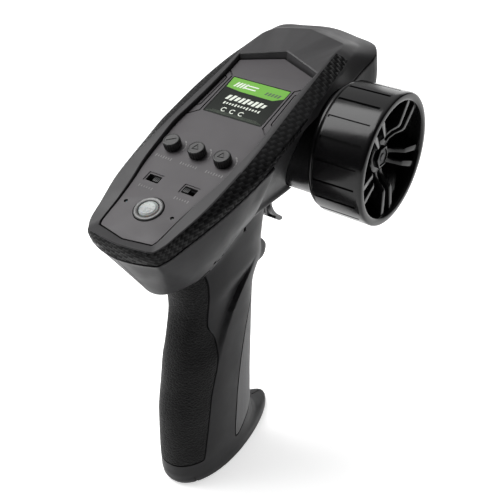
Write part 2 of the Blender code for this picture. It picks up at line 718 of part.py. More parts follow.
def make_electronics(place):
    outline = rounded_rectangle(32.0, 56.0, 3.0, (0.0, 20.0))
    low = BOARD_TOP - BOARD_THICKNESS
    board = prism("main_board", outline, low, BOARD_TOP, place)
    holes = [cylinder("board_hole", 1.4, (u, v, low - 2), (u, v, -2), 20, matrix=place)
             for u, v in BOARD_POSTS]
    cut(board, *holes)
    finish(board, "board")
    for number, (u, v) in enumerate(BOARD_POSTS, 1):
        screw("board_screw_%d" % number, (u, v, low - GAP - 1.2), (u, v, -4.5), 2.0, 1.2, 0.85, place)
    for side, name in ((-1, "left"), (1, "right")):
        u = side * LED_U
        led = turned("led_" + name, [(0.0, -0.5), (0.5, -0.7), (0.72, -1.2), (0.72, -2.7), (1.5, -2.8),
                                     (1.5, -6.0), (1.8, -6.0), (1.8, -6.6), (0.0, -6.6)],
                     place @ Matrix.Translation(Vector((u, LED_V, 0.0)) * MM), 12, closed=False)
        finish(led, "led")
    radio = box("radio_module", (-8.0, 2.0, low - 2.6), (8.0, 15.0, low - GAP), place)
    finish(radio, "part")
    points = [(-8.0 + 16.0 * i / 8, -8.0 - 3.0 * math.sin(math.pi * i / 8), low - 1.4)
              for i in range(9)]
    antenna = wire("antenna_wire", points, 0.6, place)
    finish(antenna, "part")


def wire(name, points, radius, matrix):
    """Round wire along a line of points."""
    curve = bpy.data.curves.new(name, "CURVE")
    curve.dimensions = "3D"
    curve.bevel_depth = radius * MM
    curve.bevel_resolution = 2
    curve.use_fill_caps = True
    spline = curve.splines.new("POLY")
    spline.points.add(len(points) - 1)
    for target, point in zip(spline.points, points):
        target.co = (*[c * MM for c in point], 1.0)
    obj = bpy.data.objects.new(name, curve)
    obj.matrix_world = matrix
    return link(obj, PARTS)


def screw(name, start, end, head_radius, head_height, shank_radius, matrix=None):
    """Pan-head screw with a cross recess; it starts with its head and ends at its tip."""
    a, b = Vector(start), Vector(end)
    axis = (b - a).normalized()
    neck = a + axis * head_height
    obj = cylinder(name, head_radius, a, neck, 14, matrix=matrix)
    fuse(obj, cylinder("shank", shank_radius, neck - axis * 0.2, b, 8, matrix=matrix))
    wide, narrow = head_radius * 0.6, head_radius * 0.16
    cross = [(wide, narrow), (narrow, narrow), (narrow, wide)]
    for _ in range(3):
        cross += [(-y, x) for x, y in cross[-3:]]
    turn = axis.to_track_quat("Z", "Y").to_matrix().to_4x4()
    place = Matrix.Translation(a * MM) @ turn
    if matrix is not None:
        place = matrix @ place
    cut(obj, prism("drive", cross, -1.0, head_height * 0.6, place))
    finish(obj, "steel")
    return obj


# Steering --------------------------------------------------------------------------------
def make_wheel():
    axis = along_x(0.0, WHEEL_Y, WHEEL_Z)
    profile = [(29.2, WHEEL_FACE), (WHEEL_RADIUS, WHEEL_FACE - 0.8), (WHEEL_RADIUS, 35.4),
               (29.4, 35.0), (28.6, 34.6), (29.0, 34.0), (29.0, 33.0), (28.2, WHEEL_BACK),
               (26.6, WHEEL_BACK), (26.6, 48.0), (26.0, 54.0), (27.4, WHEEL_FACE)]
    wheel = bake(turned("steering_wheel", profile, axis, 64))
    pieces = [bake(turned("hub", [(7.6, 53.6), (7.9, 53.2), (7.9, 33.4), (SHAFT_RADIUS + 0.05, 33.4),
                                  (SHAFT_RADIUS + 0.05, 53.6)], axis, 32))]
    pitch = 2 * math.pi / WHEEL_SPOKES
    for index in range(WHEEL_SPOKES):
        angle = SPOKE_START + index * pitch
        for side in (-1, 1):
            pieces.append(spoke_blade(angle, side))
    fuse(wheel, *pieces)
    grooves = []
    for index in range(WHEEL_GROOVES):
        angle = GROOVE_START + 2 * math.pi * index / WHEEL_GROOVES
        place = axis @ Matrix.Rotation(angle + math.pi / 2, 4, "Z")
        grooves.append(box("groove", (WHEEL_RADIUS - GROOVE_DEPTH, -GROOVE_WIDTH / 2, 35.5),
                           (WHEEL_RADIUS + 1.0, GROOVE_WIDTH / 2, 55.5), place))
    cut(wheel, *grooves, prism("nut_recess", hexagon(NUT_RADIUS + GAP), 50.0, 60.0, axis))
    finish(wheel, "gloss")
    shade(wheel, 30.0)
    set_origin(wheel, (45.0, WHEEL_Y, WHEEL_Z))
    nut = prism("wheel_nut", hexagon(NUT_RADIUS), 50.3, 52.8, axis)
    cut(nut, cylinder("nut_bore", SHAFT_RADIUS + 0.05, (49.0, WHEEL_Y, WHEEL_Z),
                      (54.0, WHEEL_Y, WHEEL_Z), 24))
    finish(nut, "steel")
    set_origin(nut, (51.5, WHEEL_Y, WHEEL_Z))


def hexagon(radius):
    """Hexagon outline with a given radius over its corners."""
    return [(radius * math.cos(math.pi / 3 * i + 0.5), radius * math.sin(math.pi / 3 * i + 0.5))
            for i in range(6)]


def spoke_blade(angle, side):
    """One of the two blades of a spoke: low at the hub, then level out to the rim."""
    thick = 2.2
    c, s = math.cos(angle), math.sin(angle)

    def place(radial, across, x):
        return (x, WHEEL_Y + radial * c - across * s, WHEEL_Z + radial * s + across * c)

    rings = []
    for radial, across, low, high in ((6.6, 2.0, 45.0, 52.8), (11.0, 2.5, 46.0, 53.6),
                                      (15.0, 2.9, 46.9, 56.4), (26.9, 4.1, 49.5, 57.2)):
        across *= side
        rings.append([place(radial, across - thick / 2, low), place(radial, across + thick / 2, low),
                      place(radial, across + thick / 2, high), place(radial, across - thick / 2, high)])
    return ring_stack("spoke", rings)


def make_steering_mount():
    axis = along_x(0.0, WHEEL_Y, WHEEL_Z)
    back = 14.5
    boss = turned("steering_boss",
                  [(BOSS_RADIUS - 0.8, BOSS_FACE), (BOSS_RADIUS, BOSS_FACE - 0.8), (BOSS_RADIUS, back),
                   (BOSS_RADIUS - WALL, back), (BOSS_RADIUS - WALL, BOSS_FACE - 2.4),
                   (6.5, BOSS_FACE - 2.4), (6.5, 18.0), (4.05, 18.0), (4.05, BOSS_FACE)], axis, 48)
    finish(boss, "gloss")
    bush = turned("shaft_bush", [(4.0, 30.5), (4.0, 20.0), (SHAFT_RADIUS + 0.05, 20.0),
                                 (SHAFT_RADIUS + 0.05, 30.5)], axis, 24)
    finish(bush, "brass")
    shaft = turned("wheel_shaft", [(0.0, 53.2), (SHAFT_RADIUS - 0.4, 53.2), (SHAFT_RADIUS, 52.8),
                                   (SHAFT_RADIUS, -6.0), (1.4, -6.0), (1.4, -10.5), (0.0, -10.5)],
                   axis, 20, closed=False)
    finish(shaft, "steel")
    cam = cylinder("return_cam", 5.0, (12.0, WHEEL_Y, WHEEL_Z), (16.0, WHEEL_Y, WHEEL_Z), 32)
    fuse(cam, box("cam_finger", (12.0, WHEEL_Y - 1.5, WHEEL_Z - 10.5),
                  (16.0, WHEEL_Y + 1.5, WHEEL_Z - 3.0)))
    cut(cam, cylinder("cam_bore", SHAFT_RADIUS + 0.05, (11.0, WHEEL_Y, WHEEL_Z),
                      (17.0, WHEEL_Y, WHEEL_Z), 32))
    finish(cam, "part")
    set_origin(cam, (14.0, WHEEL_Y, WHEEL_Z))
    spring = coil_spring("wheel_spring", (2.0, WHEEL_Y, WHEEL_Z), 4.6, 0.5, 3, 2.2, 8.5, 8.6)
    finish(spring, "steel")
    pot = box("steering_pot", (-16.5, WHEEL_Y - 8.0, WHEEL_Z - 8.0), (-9.0, WHEEL_Y + 8.0, WHEEL_Z + 8.0))
    cut(pot, cylinder("pot_bore", 1.55, (-12.0, WHEEL_Y, WHEEL_Z), (-5.0, WHEEL_Y, WHEEL_Z), 24))
    finish(pot, "part")


def coil_spring(name, start, radius, wire_radius, turns, pitch, leg, reach):
    """Torsion spring about a line along X, with two legs that hang down and reach sideways."""
    steps = 10
    x, y, z = start
    points = [(x, y + radius, z - leg)]
    for i in range(turns * steps + steps // 2 + 1):
        angle = 2 * math.pi * i / steps
        points.append((x + pitch * i / steps, y + radius * math.cos(angle),
                       z + radius * math.sin(angle)))
    end = points[-1]
    points.append((end[0], end[1], z - leg))
    points.append((x + reach, end[1], z - leg - 0.6))
    return wire(name, points, wire_radius, Matrix.Identity(4))


# Throttle trigger ------------------------------------------------------------------------
def make_trigger():
    """Trigger lever: a hub on its pin, a hollow-sided lever and a tip that curls forwards."""
    front = [(42.6, 138.0), (41.0, 130.0), (40.3, 124.0), (41.4, 119.6), (44.4, 115.4), (49.4, 111.2)]
    back = [(50.2, 109.4), (47.6, 109.7), (44.0, 112.1), (40.8, 114.5), (37.2, 117.4), (34.4, 121.0),
            (33.8, 128.0), (34.2, 138.0)]
    outline = front + back
    half = TRIGGER_WIDTH / 2
    place = Matrix(((0, 0, 1, 0), (1, 0, 0, 0), (0, 1, 0, 0), (0, 0, 0, 1)))
    lever = prism("trigger", outline, -half, half, place)
    fuse(lever, cylinder("trigger_hub", 5.0, (-half, TRIGGER_Y, TRIGGER_Z),
                         (half, TRIGGER_Y, TRIGGER_Z), 32))
    pocket = [(39.8, 132.0), (38.9, 124.0), (39.8, 119.4), (41.6, 116.0), (38.6, 118.0), (36.0, 121.8),
              (35.4, 128.0), (35.6, 132.0)]
    cut(lever,
        prism("pocket", pocket, 1.0, half + 1.0, place),
        prism("pocket", pocket, -half - 1.0, -1.0, place),
        cylinder("trigger_bore", TRIGGER_PIN_RADIUS + 0.05, (-9.0, TRIGGER_Y, TRIGGER_Z),
                 (9.0, TRIGGER_Y, TRIGGER_Z), 24))
    finish(lever, "shell")
    set_origin(lever, (0.0, TRIGGER_Y, TRIGGER_Z))
    pin = cylinder("trigger_pin", TRIGGER_PIN_RADIUS, (-9.0, TRIGGER_Y, TRIGGER_Z),
                   (9.0, TRIGGER_Y, TRIGGER_Z), 24)
    finish(pin, "steel")


def make_trigger_spring():
    y, z = TRIGGER_Y, TRIGGER_Z + 9.0
    steps = 10
    points = [(-3.0 + 2.0 * i / steps, y + 3.0 * math.cos(2 * math.pi * i / steps),
               z + 3.0 * math.sin(2 * math.pi * i / steps)) for i in range(3 * steps + 1)]
    spring = wire("trigger_spring", points, 0.4, Matrix.Identity(4))
    finish(spring, "steel")
    pot = box("throttle_pot", (-14.0, 14.0, 139.0), (-6.0, 28.0, 152.0))
    finish(pot, "part")


# Battery bay -----------------------------------------------------------------------------
def make_battery_bay():
    low, high = 4.2, 52.5
    centre = (0.0, BATTERY_Y)
    tray = prism("battery_tray", rounded_rectangle(22.0, 22.2, 3.5, centre), low, high)
    cut(tray, prism("bay", rounded_rectangle(20.8, 21.0, 3.0, centre), low - 1.0, high - 0.8))
    finish(tray, "part")
    number = 0
    for sx in (-1, 1):
        for sy in (-1, 1):
            number += 1
            x, y = sx * 5.15, BATTERY_Y + sy * 5.25
            flip = sx * sy > 0
            cell = turned("battery_cell_%d" % number,
                          [(0.0, CELL_LENGTH), (1.9, CELL_LENGTH), (1.9, CELL_LENGTH - 1.0),
                           (CELL_RADIUS - 0.3, CELL_LENGTH - 1.0), (CELL_RADIUS, CELL_LENGTH - 1.4),
                           (CELL_RADIUS, 0.3), (CELL_RADIUS - 0.3, 0.0), (0.0, 0.0)],
                          cell_matrix(x, y, 6.0, flip), 20, closed=False)
            finish(cell, "cell")
    for side, name in ((-1, "left"), (1, "right")):
        x = side * 5.15
        strip = box("battery_contact_" + name, (x - 3.5, BATTERY_Y - 9.0, 50.85),
                    (x + 3.5, BATTERY_Y + 9.0, 51.35))
        finish(strip, "brass")
    door = box("battery_door", (-11.35, -23.2, 0.0), (11.35, 3.2, 2.0))
    bevel(door, 0.4)
    bake(door)
    cut(door, box("thumb_notch", (-4.0, -23.5, -0.5), (4.0, -22.0, 1.0)))
    finish(door, "shell")
    set_origin(door, (0.0, 2.2, 1.0))
    spring_plate = prism("battery_spring_plate", rounded_rectangle(19.6, 19.6, 2.8, centre), 4.7, 5.2)
    finish(spring_plate, "brass")


def cell_matrix(x, y, z, flip):
    place = Matrix.Translation(Vector((x, y, z)) * MM)
    if flip:
        return place @ Matrix.Translation((0, 0, CELL_LENGTH * MM)) @ Matrix.Rotation(math.pi, 4, "X")
    return place


def bevel(obj, width, segments=2):
    modifier = obj.modifiers.new("bevel", "BEVEL")
    modifier.width = width * MM
    modifier.segments = segments
    modifier.limit_method = "ANGLE"


def make_screws():
    for number, (y, z) in enumerate(SCREWS, 1):
        screw("housing_screw_%d" % number, (-8.0 - GAP - 1.8, y, z), (7.5, y, z), 2.5, 1.8, 1.25)


def main():
    make_housings()
    make_pads()
    make_top_cover()
    place = head_matrix()
    make_panel(place)
    make_power_button(place)
    make_knobs(place)
    make_switches(place)
    make_electronics(place)
    make_wheel()
    make_steering_mount()
    make_trigger()
    make_trigger_spring()
    make_battery_bay()
    make_screws()


clear_scene()
PARTS = bpy.data.collections.new("radio_transmitter")
CUTTERS = bpy.data.collections.new("cutters")
bpy.context.scene.collection.children.link(PARTS)
bpy.context.scene.collection.children.link(CUTTERS)
main()
bpy.data.collections.remove(CUTTERS)
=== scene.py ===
"""Looks of the pistol-grip radio transmitter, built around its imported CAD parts.

Millimetres are used for shapes below and turned into metres when a mesh is made.
Head frame: u across, v along the control panel towards the front, h above the panel.
"""

import json
import math

import bmesh
import bpy
import numpy as np
from mathutils import Matrix, Vector


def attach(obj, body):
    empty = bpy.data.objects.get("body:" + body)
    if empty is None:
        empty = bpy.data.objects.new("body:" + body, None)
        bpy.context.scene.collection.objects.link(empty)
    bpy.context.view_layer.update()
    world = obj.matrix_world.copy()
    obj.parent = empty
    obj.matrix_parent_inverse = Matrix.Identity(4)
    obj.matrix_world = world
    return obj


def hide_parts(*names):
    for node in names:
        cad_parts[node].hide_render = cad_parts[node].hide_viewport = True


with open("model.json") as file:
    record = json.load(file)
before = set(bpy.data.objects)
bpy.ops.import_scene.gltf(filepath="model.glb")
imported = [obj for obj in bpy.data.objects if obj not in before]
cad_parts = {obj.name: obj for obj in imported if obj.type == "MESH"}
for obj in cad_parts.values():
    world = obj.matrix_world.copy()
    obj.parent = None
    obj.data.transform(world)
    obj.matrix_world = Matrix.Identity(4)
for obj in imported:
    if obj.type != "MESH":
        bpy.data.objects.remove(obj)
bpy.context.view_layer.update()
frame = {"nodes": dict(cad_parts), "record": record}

MM = 0.001
PITCH = math.radians(18.45)
COS, SIN = math.cos(PITCH), math.sin(PITCH)
BUTTON_Y, BUTTON_Z = -40.0, 156.2
WHEEL_Y, WHEEL_Z = 53.7, 155.6
HEAD = Matrix.Translation((0.0, BUTTON_Y * MM, BUTTON_Z * MM)) @ Matrix.Rotation(PITCH, 4, "X")
WHEEL_AXIS = Matrix.Translation((0.0, WHEEL_Y * MM, WHEEL_Z * MM)) @ Matrix.Rotation(math.pi / 2, 4, "Y")


# Materials -------------------------------------------------------------------------------
LOOKS = {}                # every material made here, by its name


class Nodes:
    """Small helper that adds and links shader nodes of one material."""

    def __init__(self, name):
        self.material = LOOKS[name] = bpy.data.materials.new(name)
        self.material.use_nodes = True
        self.tree = self.material.node_tree
        self.shader = self.tree.nodes["Principled BSDF"]

    def add(self, kind, inputs=None, **settings):
        node = self.tree.nodes.new(kind)
        for key, value in settings.items():
            setattr(node, key, value)
        for key, value in (inputs or {}).items():
            self.put(node.inputs[key], value)
        return node

    def put(self, socket, value):
        if isinstance(value, bpy.types.NodeSocket):
            self.tree.links.new(value, socket)
        else:
            socket.default_value = value

    def math(self, operation, a, b=0.0):
        return self.add("ShaderNodeMath", {0: a, 1: b}, operation=operation).outputs[0]

    def noise(self, scale, detail=3.0, roughness=0.5, vector=None):
        node = self.add("ShaderNodeTexNoise", {"Scale": scale, "Detail": detail, "Roughness": roughness})
        self.put(node.inputs["Vector"], vector or self.coordinates())
        return node.outputs["Fac"]

    def coordinates(self):
        return self.add("ShaderNodeTexCoord").outputs["Object"]

    def ramp(self, value, low, high, start=0.35, end=0.65):
        node = self.add("ShaderNodeMapRange", {"Value": value, "From Min": start, "From Max": end,
                                               "To Min": low, "To Max": high})
        return node.outputs["Result"]

    def mix_colours(self, factor, a, b):
        node = self.add("ShaderNodeMix", data_type="RGBA")
        self.put(node.inputs[0], factor)
        self.put(node.inputs[6], (*a, 1.0))
        self.put(node.inputs[7], (*b, 1.0))
        return node.outputs[2]

    def bump(self, height, strength, distance, normal=None):
        node = self.add("ShaderNodeBump", {"Height": height, "Strength": strength, "Distance": distance})
        if normal is not None:
            self.put(node.inputs["Normal"], normal)
        return node.outputs["Normal"]

    def set(self, **values):
        for key, value in values.items():
            self.put(self.shader.inputs[key.replace("_", " ")], value)


def scaled(colour, factor):
    return tuple(c * factor for c in colour)


def plastic(name, colour, roughness, grain=0.25, spread=0.05, wear=0.08, specular=0.5):
    """Moulded plastic: slight colour drift, uneven gloss and a fine spark-eroded grain."""
    n = Nodes(name)
    cloud = n.noise(35.0, 4.0)
    drift = n.mix_colours(n.ramp(cloud, 0.0, 1.0), scaled(colour, 1.0 - wear), scaled(colour, 1.0 + wear))
    n.set(Base_Color=drift, Specular_IOR_Level=specular,
          Roughness=n.ramp(n.noise(90.0, 5.0), roughness - spread, roughness + spread))
    fine = n.noise(1500.0, 2.0)
    soft = n.noise(60.0, 2.0)
    n.set(Normal=n.bump(fine, grain, 0.00006, n.bump(soft, 0.12, 0.0004)))
    return n.material


def metal(name, colour, roughness):
    """Satin metal with drawn or brushed streaks and small stains."""
    n = Nodes(name)
    mapping = n.add("ShaderNodeMapping", {"Vector": n.coordinates(), "Scale": (1.0, 1.0, 12.0)})
    streaks = n.noise(900.0, 4.0, 0.6, mapping.outputs["Vector"])
    stains = n.noise(120.0, 4.0)
    n.set(Base_Color=n.mix_colours(n.ramp(stains, 0.0, 1.0), colour, scaled(colour, 0.82)), Metallic=1.0,
          Roughness=n.ramp(streaks, roughness - 0.06, roughness + 0.1))
    n.set(Normal=n.bump(streaks, 0.25, 0.00004))
    return n.material


def woven(name, colour, low, high, tow=2.1):
    """Black band with a woven pattern that follows its length; its map and its tows are in millimetres."""
    n = Nodes(name)
    uv = n.add("ShaderNodeUVMap", uv_map="band").outputs["UV"]
    split = n.add("ShaderNodeSeparateXYZ", {"Vector": uv})
    u, v = split.outputs["X"], split.outputs["Y"]
    a = n.math("DIVIDE", n.math("ADD", u, n.math("MULTIPLY", v, 0.55)), tow)
    b = n.math("DIVIDE", n.math("SUBTRACT", n.math("MULTIPLY", v, 1.15), n.math("MULTIPLY", u, 0.45)), tow)
    cell = n.math("ADD", n.math("FLOOR", a), n.math("FLOOR", b))
    turn = n.add("ShaderNodeMath", {0: cell, 1: 2.0, 2: 0.0}, operation="WRAP").outputs[0]
    bulge = []
    for value in (a, b):
        off = n.math("ABSOLUTE", n.math("SUBTRACT", n.math("FRACT", value), 0.5))
        bulge.append(n.math("SUBTRACT", 1.0, n.math("MULTIPLY", n.math("MULTIPLY", off, off), 4.0)))
    switch = n.add("ShaderNodeMix", {0: turn, 2: bulge[0], 3: bulge[1]}, data_type="FLOAT")
    height = switch.outputs[0]
    threads = n.noise(1400.0, 2.0)
    n.set(Base_Color=n.mix_colours(turn, scaled(colour, 0.8), scaled(colour, 1.5)),
          Roughness=n.ramp(turn, low, high, 0.0, 1.0), Specular_IOR_Level=0.1)
    n.set(Normal=n.bump(height, 1.0, 0.0002, n.bump(threads, 0.2, 0.00005)))
    return n.material


def leather(name, colour):
    """Soft-touch rubber with a leather-like grain of small cells."""
    n = Nodes(name)
    where = n.coordinates()
    stretched = n.add("ShaderNodeMapping", {"Vector": where, "Scale": (1.0, 1.0, 1.35)}).outputs["Vector"]
    wobble = n.add("ShaderNodeTexNoise", {"Scale": 260.0, "Detail": 2.0, "Vector": stretched})
    bent = n.add("ShaderNodeVectorMath", operation="MULTIPLY_ADD")
    n.put(bent.inputs[0], wobble.outputs["Color"])
    n.put(bent.inputs[1], (0.0016, 0.0016, 0.0016))
    n.put(bent.inputs[2], stretched)
    cells = n.add("ShaderNodeTexVoronoi", {"Scale": 620.0, "Vector": bent.outputs[0]},
                  feature="DISTANCE_TO_EDGE")
    edge = n.ramp(cells.outputs["Distance"], 0.0, 1.0, 0.0, 0.22)
    worn = n.noise(22.0, 4.0)
    n.set(Base_Color=n.mix_colours(n.ramp(worn, 0.0, 1.0), scaled(colour, 0.8), scaled(colour, 1.25)),
          Roughness=n.ramp(worn, 0.5, 0.66), Specular_IOR_Level=0.14)
    n.set(Normal=n.bump(edge, 0.75, 0.0003, n.bump(n.noise(2600.0, 2.0), 0.2, 0.00006)))
    return n.material


def dotted(name, colour, spacing=0.0013):
    """Soft-touch rubber with rows of small round dots."""
    n = Nodes(name)
    split = n.add("ShaderNodeSeparateXYZ", {"Vector": n.coordinates()})
    turns = 2.0 * math.pi / spacing
    waves = [n.math("COSINE", n.math("MULTIPLY", split.outputs[axis], turns)) for axis in ("X", "Z")]
    dots = n.ramp(n.math("MULTIPLY", waves[0], waves[1]), 0.0, 1.0, 0.1, 0.9)
    worn = n.noise(25.0, 4.0)
    n.set(Base_Color=n.mix_colours(n.ramp(worn, 0.0, 1.0), scaled(colour, 0.85), scaled(colour, 1.2)),
          Roughness=n.ramp(worn, 0.5, 0.62))
    n.set(Normal=n.bump(dots, 0.8, 0.0002, n.bump(n.noise(2200.0, 2.0), 0.15, 0.00005)))
    return n.material


def lens(name, colour):
    """Frosted translucent plastic."""
    n = Nodes(name)
    frost = n.noise(700.0, 3.0)
    n.set(Base_Color=n.mix_colours(n.ramp(n.noise(180.0, 3.0), 0.0, 1.0), scaled(colour, 0.86), colour),
          Roughness=n.ramp(frost, 0.22, 0.36), Transmission_Weight=0.15, Subsurface_Weight=0.15)
    n.set(Normal=n.bump(frost, 0.2, 0.0001))
    return n.material


plastic("shell_body", (0.016, 0.0157, 0.0168), 0.42, specular=0.13)
plastic("shell_cover", (0.035, 0.034, 0.0355), 0.42, specular=0.3)
plastic("panel", (0.072, 0.067, 0.071), 0.5, grain=0.2, wear=0.04, specular=0.3)
leather("rear_pad", (0.0026, 0.0026, 0.0028))
dotted("front_pad", (0.095, 0.095, 0.097))
plastic("shell_door", (0.016, 0.0157, 0.0168), 0.44, specular=0.13)
plastic("gloss_boss", (0.005, 0.005, 0.0054), 0.24, grain=0.06, spread=0.03, specular=0.26)
plastic("gloss_wheel", (0.0045, 0.0044, 0.0047), 0.17, grain=0.06, spread=0.03, specular=0.3)
plastic("trigger_plastic", (0.028, 0.028, 0.03), 0.36)
plastic("knob_plastic", (0.009, 0.009, 0.009), 0.36)
plastic("slider_plastic", (0.016, 0.016, 0.0165), 0.4, specular=0.3)
lens("button_lens", (0.42, 0.415, 0.405))
metal("button_ring", (0.15, 0.15, 0.15), 0.5)
lens("led_lens", (0.10, 0.11, 0.10))
plastic("inner_plastic", (0.02, 0.02, 0.022), 0.5)
plastic("circuit_board", (0.02, 0.13, 0.05), 0.35)
plastic("cell_sleeve", (0.10, 0.12, 0.16), 0.3, grain=0.1)
plastic("antenna_sleeve", (0.02, 0.02, 0.02), 0.4)
metal("steel", (0.42, 0.42, 0.43), 0.32)
metal("spring_steel", (0.50, 0.50, 0.52), 0.28)
metal("brass", (0.62, 0.44, 0.18), 0.32)
plastic("label", (0.009, 0.012, 0.009), 0.38, grain=0.06, wear=0.3, specular=0.14)
WEAVE = woven("cover_weave", (0.0062, 0.0062, 0.0065), 0.34, 0.52)
KNOB_TOP = plastic("knob_top", (0.040, 0.039, 0.039), 0.5)
PRINT = plastic("panel_print", (0.16, 0.157, 0.155), 0.6, grain=0.1)
GREEN = plastic("label_green", (0.15, 0.40, 0.05), 0.36, grain=0.06, specular=0.25)
PALE = plastic("label_pale", (0.72, 0.76, 0.68), 0.4, grain=0.06, specular=0.25)
# painted shade: near-black material for the walls of the seam round the front pad, standing in for the shade
# in the gap
SEAM_SHADE_LOOK = plastic("painted_seam_shade", (0.006, 0.006, 0.0062), 0.6, specular=0.1)
GREY = plastic("label_grey", (0.08, 0.10, 0.075), 0.4, grain=0.06, specular=0.25)
# painted shade: dark metal for the nut and shaft end deep in the wheel's hub recess, standing in for the
# shade there
HUB_SHADE_METAL = metal("painted_hub_shade", (0.05, 0.05, 0.052), 0.4)


# Mesh helpers ----------------------------------------------------------------------------
def mesh_object(name, points, faces, matrix=None, recalc=True):
    """Mesh object from millimetre points."""
    mesh = bpy.data.meshes.new(name)
    mesh.from_pydata([[c * MM for c in p] for p in points], [], faces)
    if recalc:
        bm = bmesh.new()
        bm.from_mesh(mesh)
        bmesh.ops.recalc_face_normals(bm, faces=bm.faces)
        bm.to_mesh(mesh)
        bm.free()
    if matrix is not None:
        mesh.transform(matrix)
    obj = bpy.data.objects.new(name, mesh)
    bpy.context.scene.collection.objects.link(obj)
    return obj


def baked(obj):
    """Apply an object's modifiers."""
    bpy.context.view_layer.update()
    mesh = bpy.data.meshes.new_from_object(obj.evaluated_get(bpy.context.evaluated_depsgraph_get()))
    obj.modifiers.clear()
    obj.data = mesh
    return obj


def boolean(target, others, operation="DIFFERENCE", solver="MANIFOLD"):
    """Boolean with other objects, which are used up."""
    for other in others:
        modifier = target.modifiers.new("cut", "BOOLEAN")
        modifier.operation, modifier.solver, modifier.object = operation, solver, other
    baked(target)
    for other in others:
        bpy.data.objects.remove(other, do_unlink=True)
    return target


def carve(target, cutters):
    """Exact cuts, one after another, for cutters that may touch each other."""
    for cutter in cutters:
        boolean(target, [cutter], solver="EXACT")


def smooth(obj, angle):
    obj.data.shade_smooth()
    obj.data.set_sharp_from_angle(angle=math.radians(angle))
    return obj


def soften(obj, width, segments=2, angle=30.0):
    """Rounded edges."""
    modifier = obj.modifiers.new("bevel", "BEVEL")
    modifier.width, modifier.segments = width * MM, segments
    modifier.limit_method, modifier.angle_limit = "ANGLE", math.radians(angle)
    return baked(obj)


def place(obj, body, slot, *nodes, look=None):
    """Give a piece its material, by default the one its slot names, and its body, and let it stand for CAD
    nodes, which are hidden.
    """
    if look is not False:
        obj.data.materials.clear()
        obj.data.materials.append(look or LOOKS[slot])
    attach(obj, body)
    if nodes:
        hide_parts(*nodes)
    return obj


def grid_faces(columns, rows, closed_columns=True, closed_rows=False):
    """Quads of a grid whose vertex (c, r) has index c * rows + r."""
    faces = []
    for c in range(columns if closed_columns else columns - 1):
        d = (c + 1) % columns
        for r in range(rows if closed_rows else rows - 1):
            s = (r + 1) % rows
            faces.append((c * rows + r, d * rows + r, d * rows + s, c * rows + s))
    return faces


def prisms(name, outlines, low, high, matrix=None):
    """One mesh of several flat outlines, each given the same height."""
    points, faces = [], []
    for outline in outlines:
        start, count = len(points), len(outline)
        top = start + count
        points += [(x, y, low) for x, y in outline] + [(x, y, high) for x, y in outline]
        faces += [tuple(range(start, top)), tuple(range(top, top + count))]
        faces += [(start + i, start + (i + 1) % count, top + (i + 1) % count, top + i) for i in range(count)]
    return mesh_object(name, points, faces, matrix)


def prism(name, outline, low, high, matrix=None):
    return prisms(name, [outline], low, high, matrix)


def box(name, low, high, matrix=None):
    outline = [(low[0], low[1]), (high[0], low[1]), (high[0], high[1]), (low[0], high[1])]
    return prism(name, outline, low[2], high[2], matrix)


def lathe(name, profile, matrix, steps=96, closed=True):
    """Profile of (radius, height) pairs turned about local Z; an open one starts and ends at radius 0."""
    turned = profile if closed else profile[1:-1]
    rows = len(turned)
    points = [(r * math.cos(2 * math.pi * c / steps), r * math.sin(2 * math.pi * c / steps), z)
              for c in range(steps) for r, z in turned]
    faces = grid_faces(steps, rows, closed_rows=closed)
    if not closed:
        for end, row in ((profile[0], 0), (profile[-1], rows - 1)):
            points.append((0.0, 0.0, end[1]))
            hub = len(points) - 1
            faces += [(hub, c * rows + row, ((c + 1) % steps) * rows + row) for c in range(steps)]
    return mesh_object(name, points, faces, matrix)


def cylinder(name, radius, start, end, steps=32, matrix=None):
    a, b = Vector(start), Vector(end)
    turn = (b - a).to_track_quat("Z", "Y").to_matrix().to_4x4()
    where = Matrix.Translation(a * MM) @ turn
    return lathe(name, [(0, 0), (radius, 0), (radius, (b - a).length), (0, (b - a).length)],
                 where if matrix is None else matrix @ where, steps, closed=False)


def rounded_rectangle(width, height, radius, centre=(0.0, 0.0), steps=6):
    points = []
    for corner, (sx, sy) in enumerate(((1, 1), (-1, 1), (-1, -1), (1, -1))):
        cx, cy = centre[0] + sx * (width / 2 - radius), centre[1] + sy * (height / 2 - radius)
        for i in range(steps + 1):
            a = math.pi / 2 * (corner + i / steps)
            points.append((cx + radius * math.cos(a), cy + radius * math.sin(a)))
    return points


def mix(a, b, t):
    return tuple(x + (y - x) * t for x, y in zip(a, b))


def towards(a, b, distance):
    """Point at a distance from a towards b, in plan; other coordinates are kept."""
    dx, dy = b[0] - a[0], b[1] - a[1]
    length = math.hypot(dx, dy) or 1.0
    return (a[0] + dx / length * distance, a[1] + dy / length * distance, *a[2:])


def head_point(u, v, h):
    return (u, BUTTON_Y + v * COS - h * SIN, BUTTON_Z + v * SIN + h * COS)


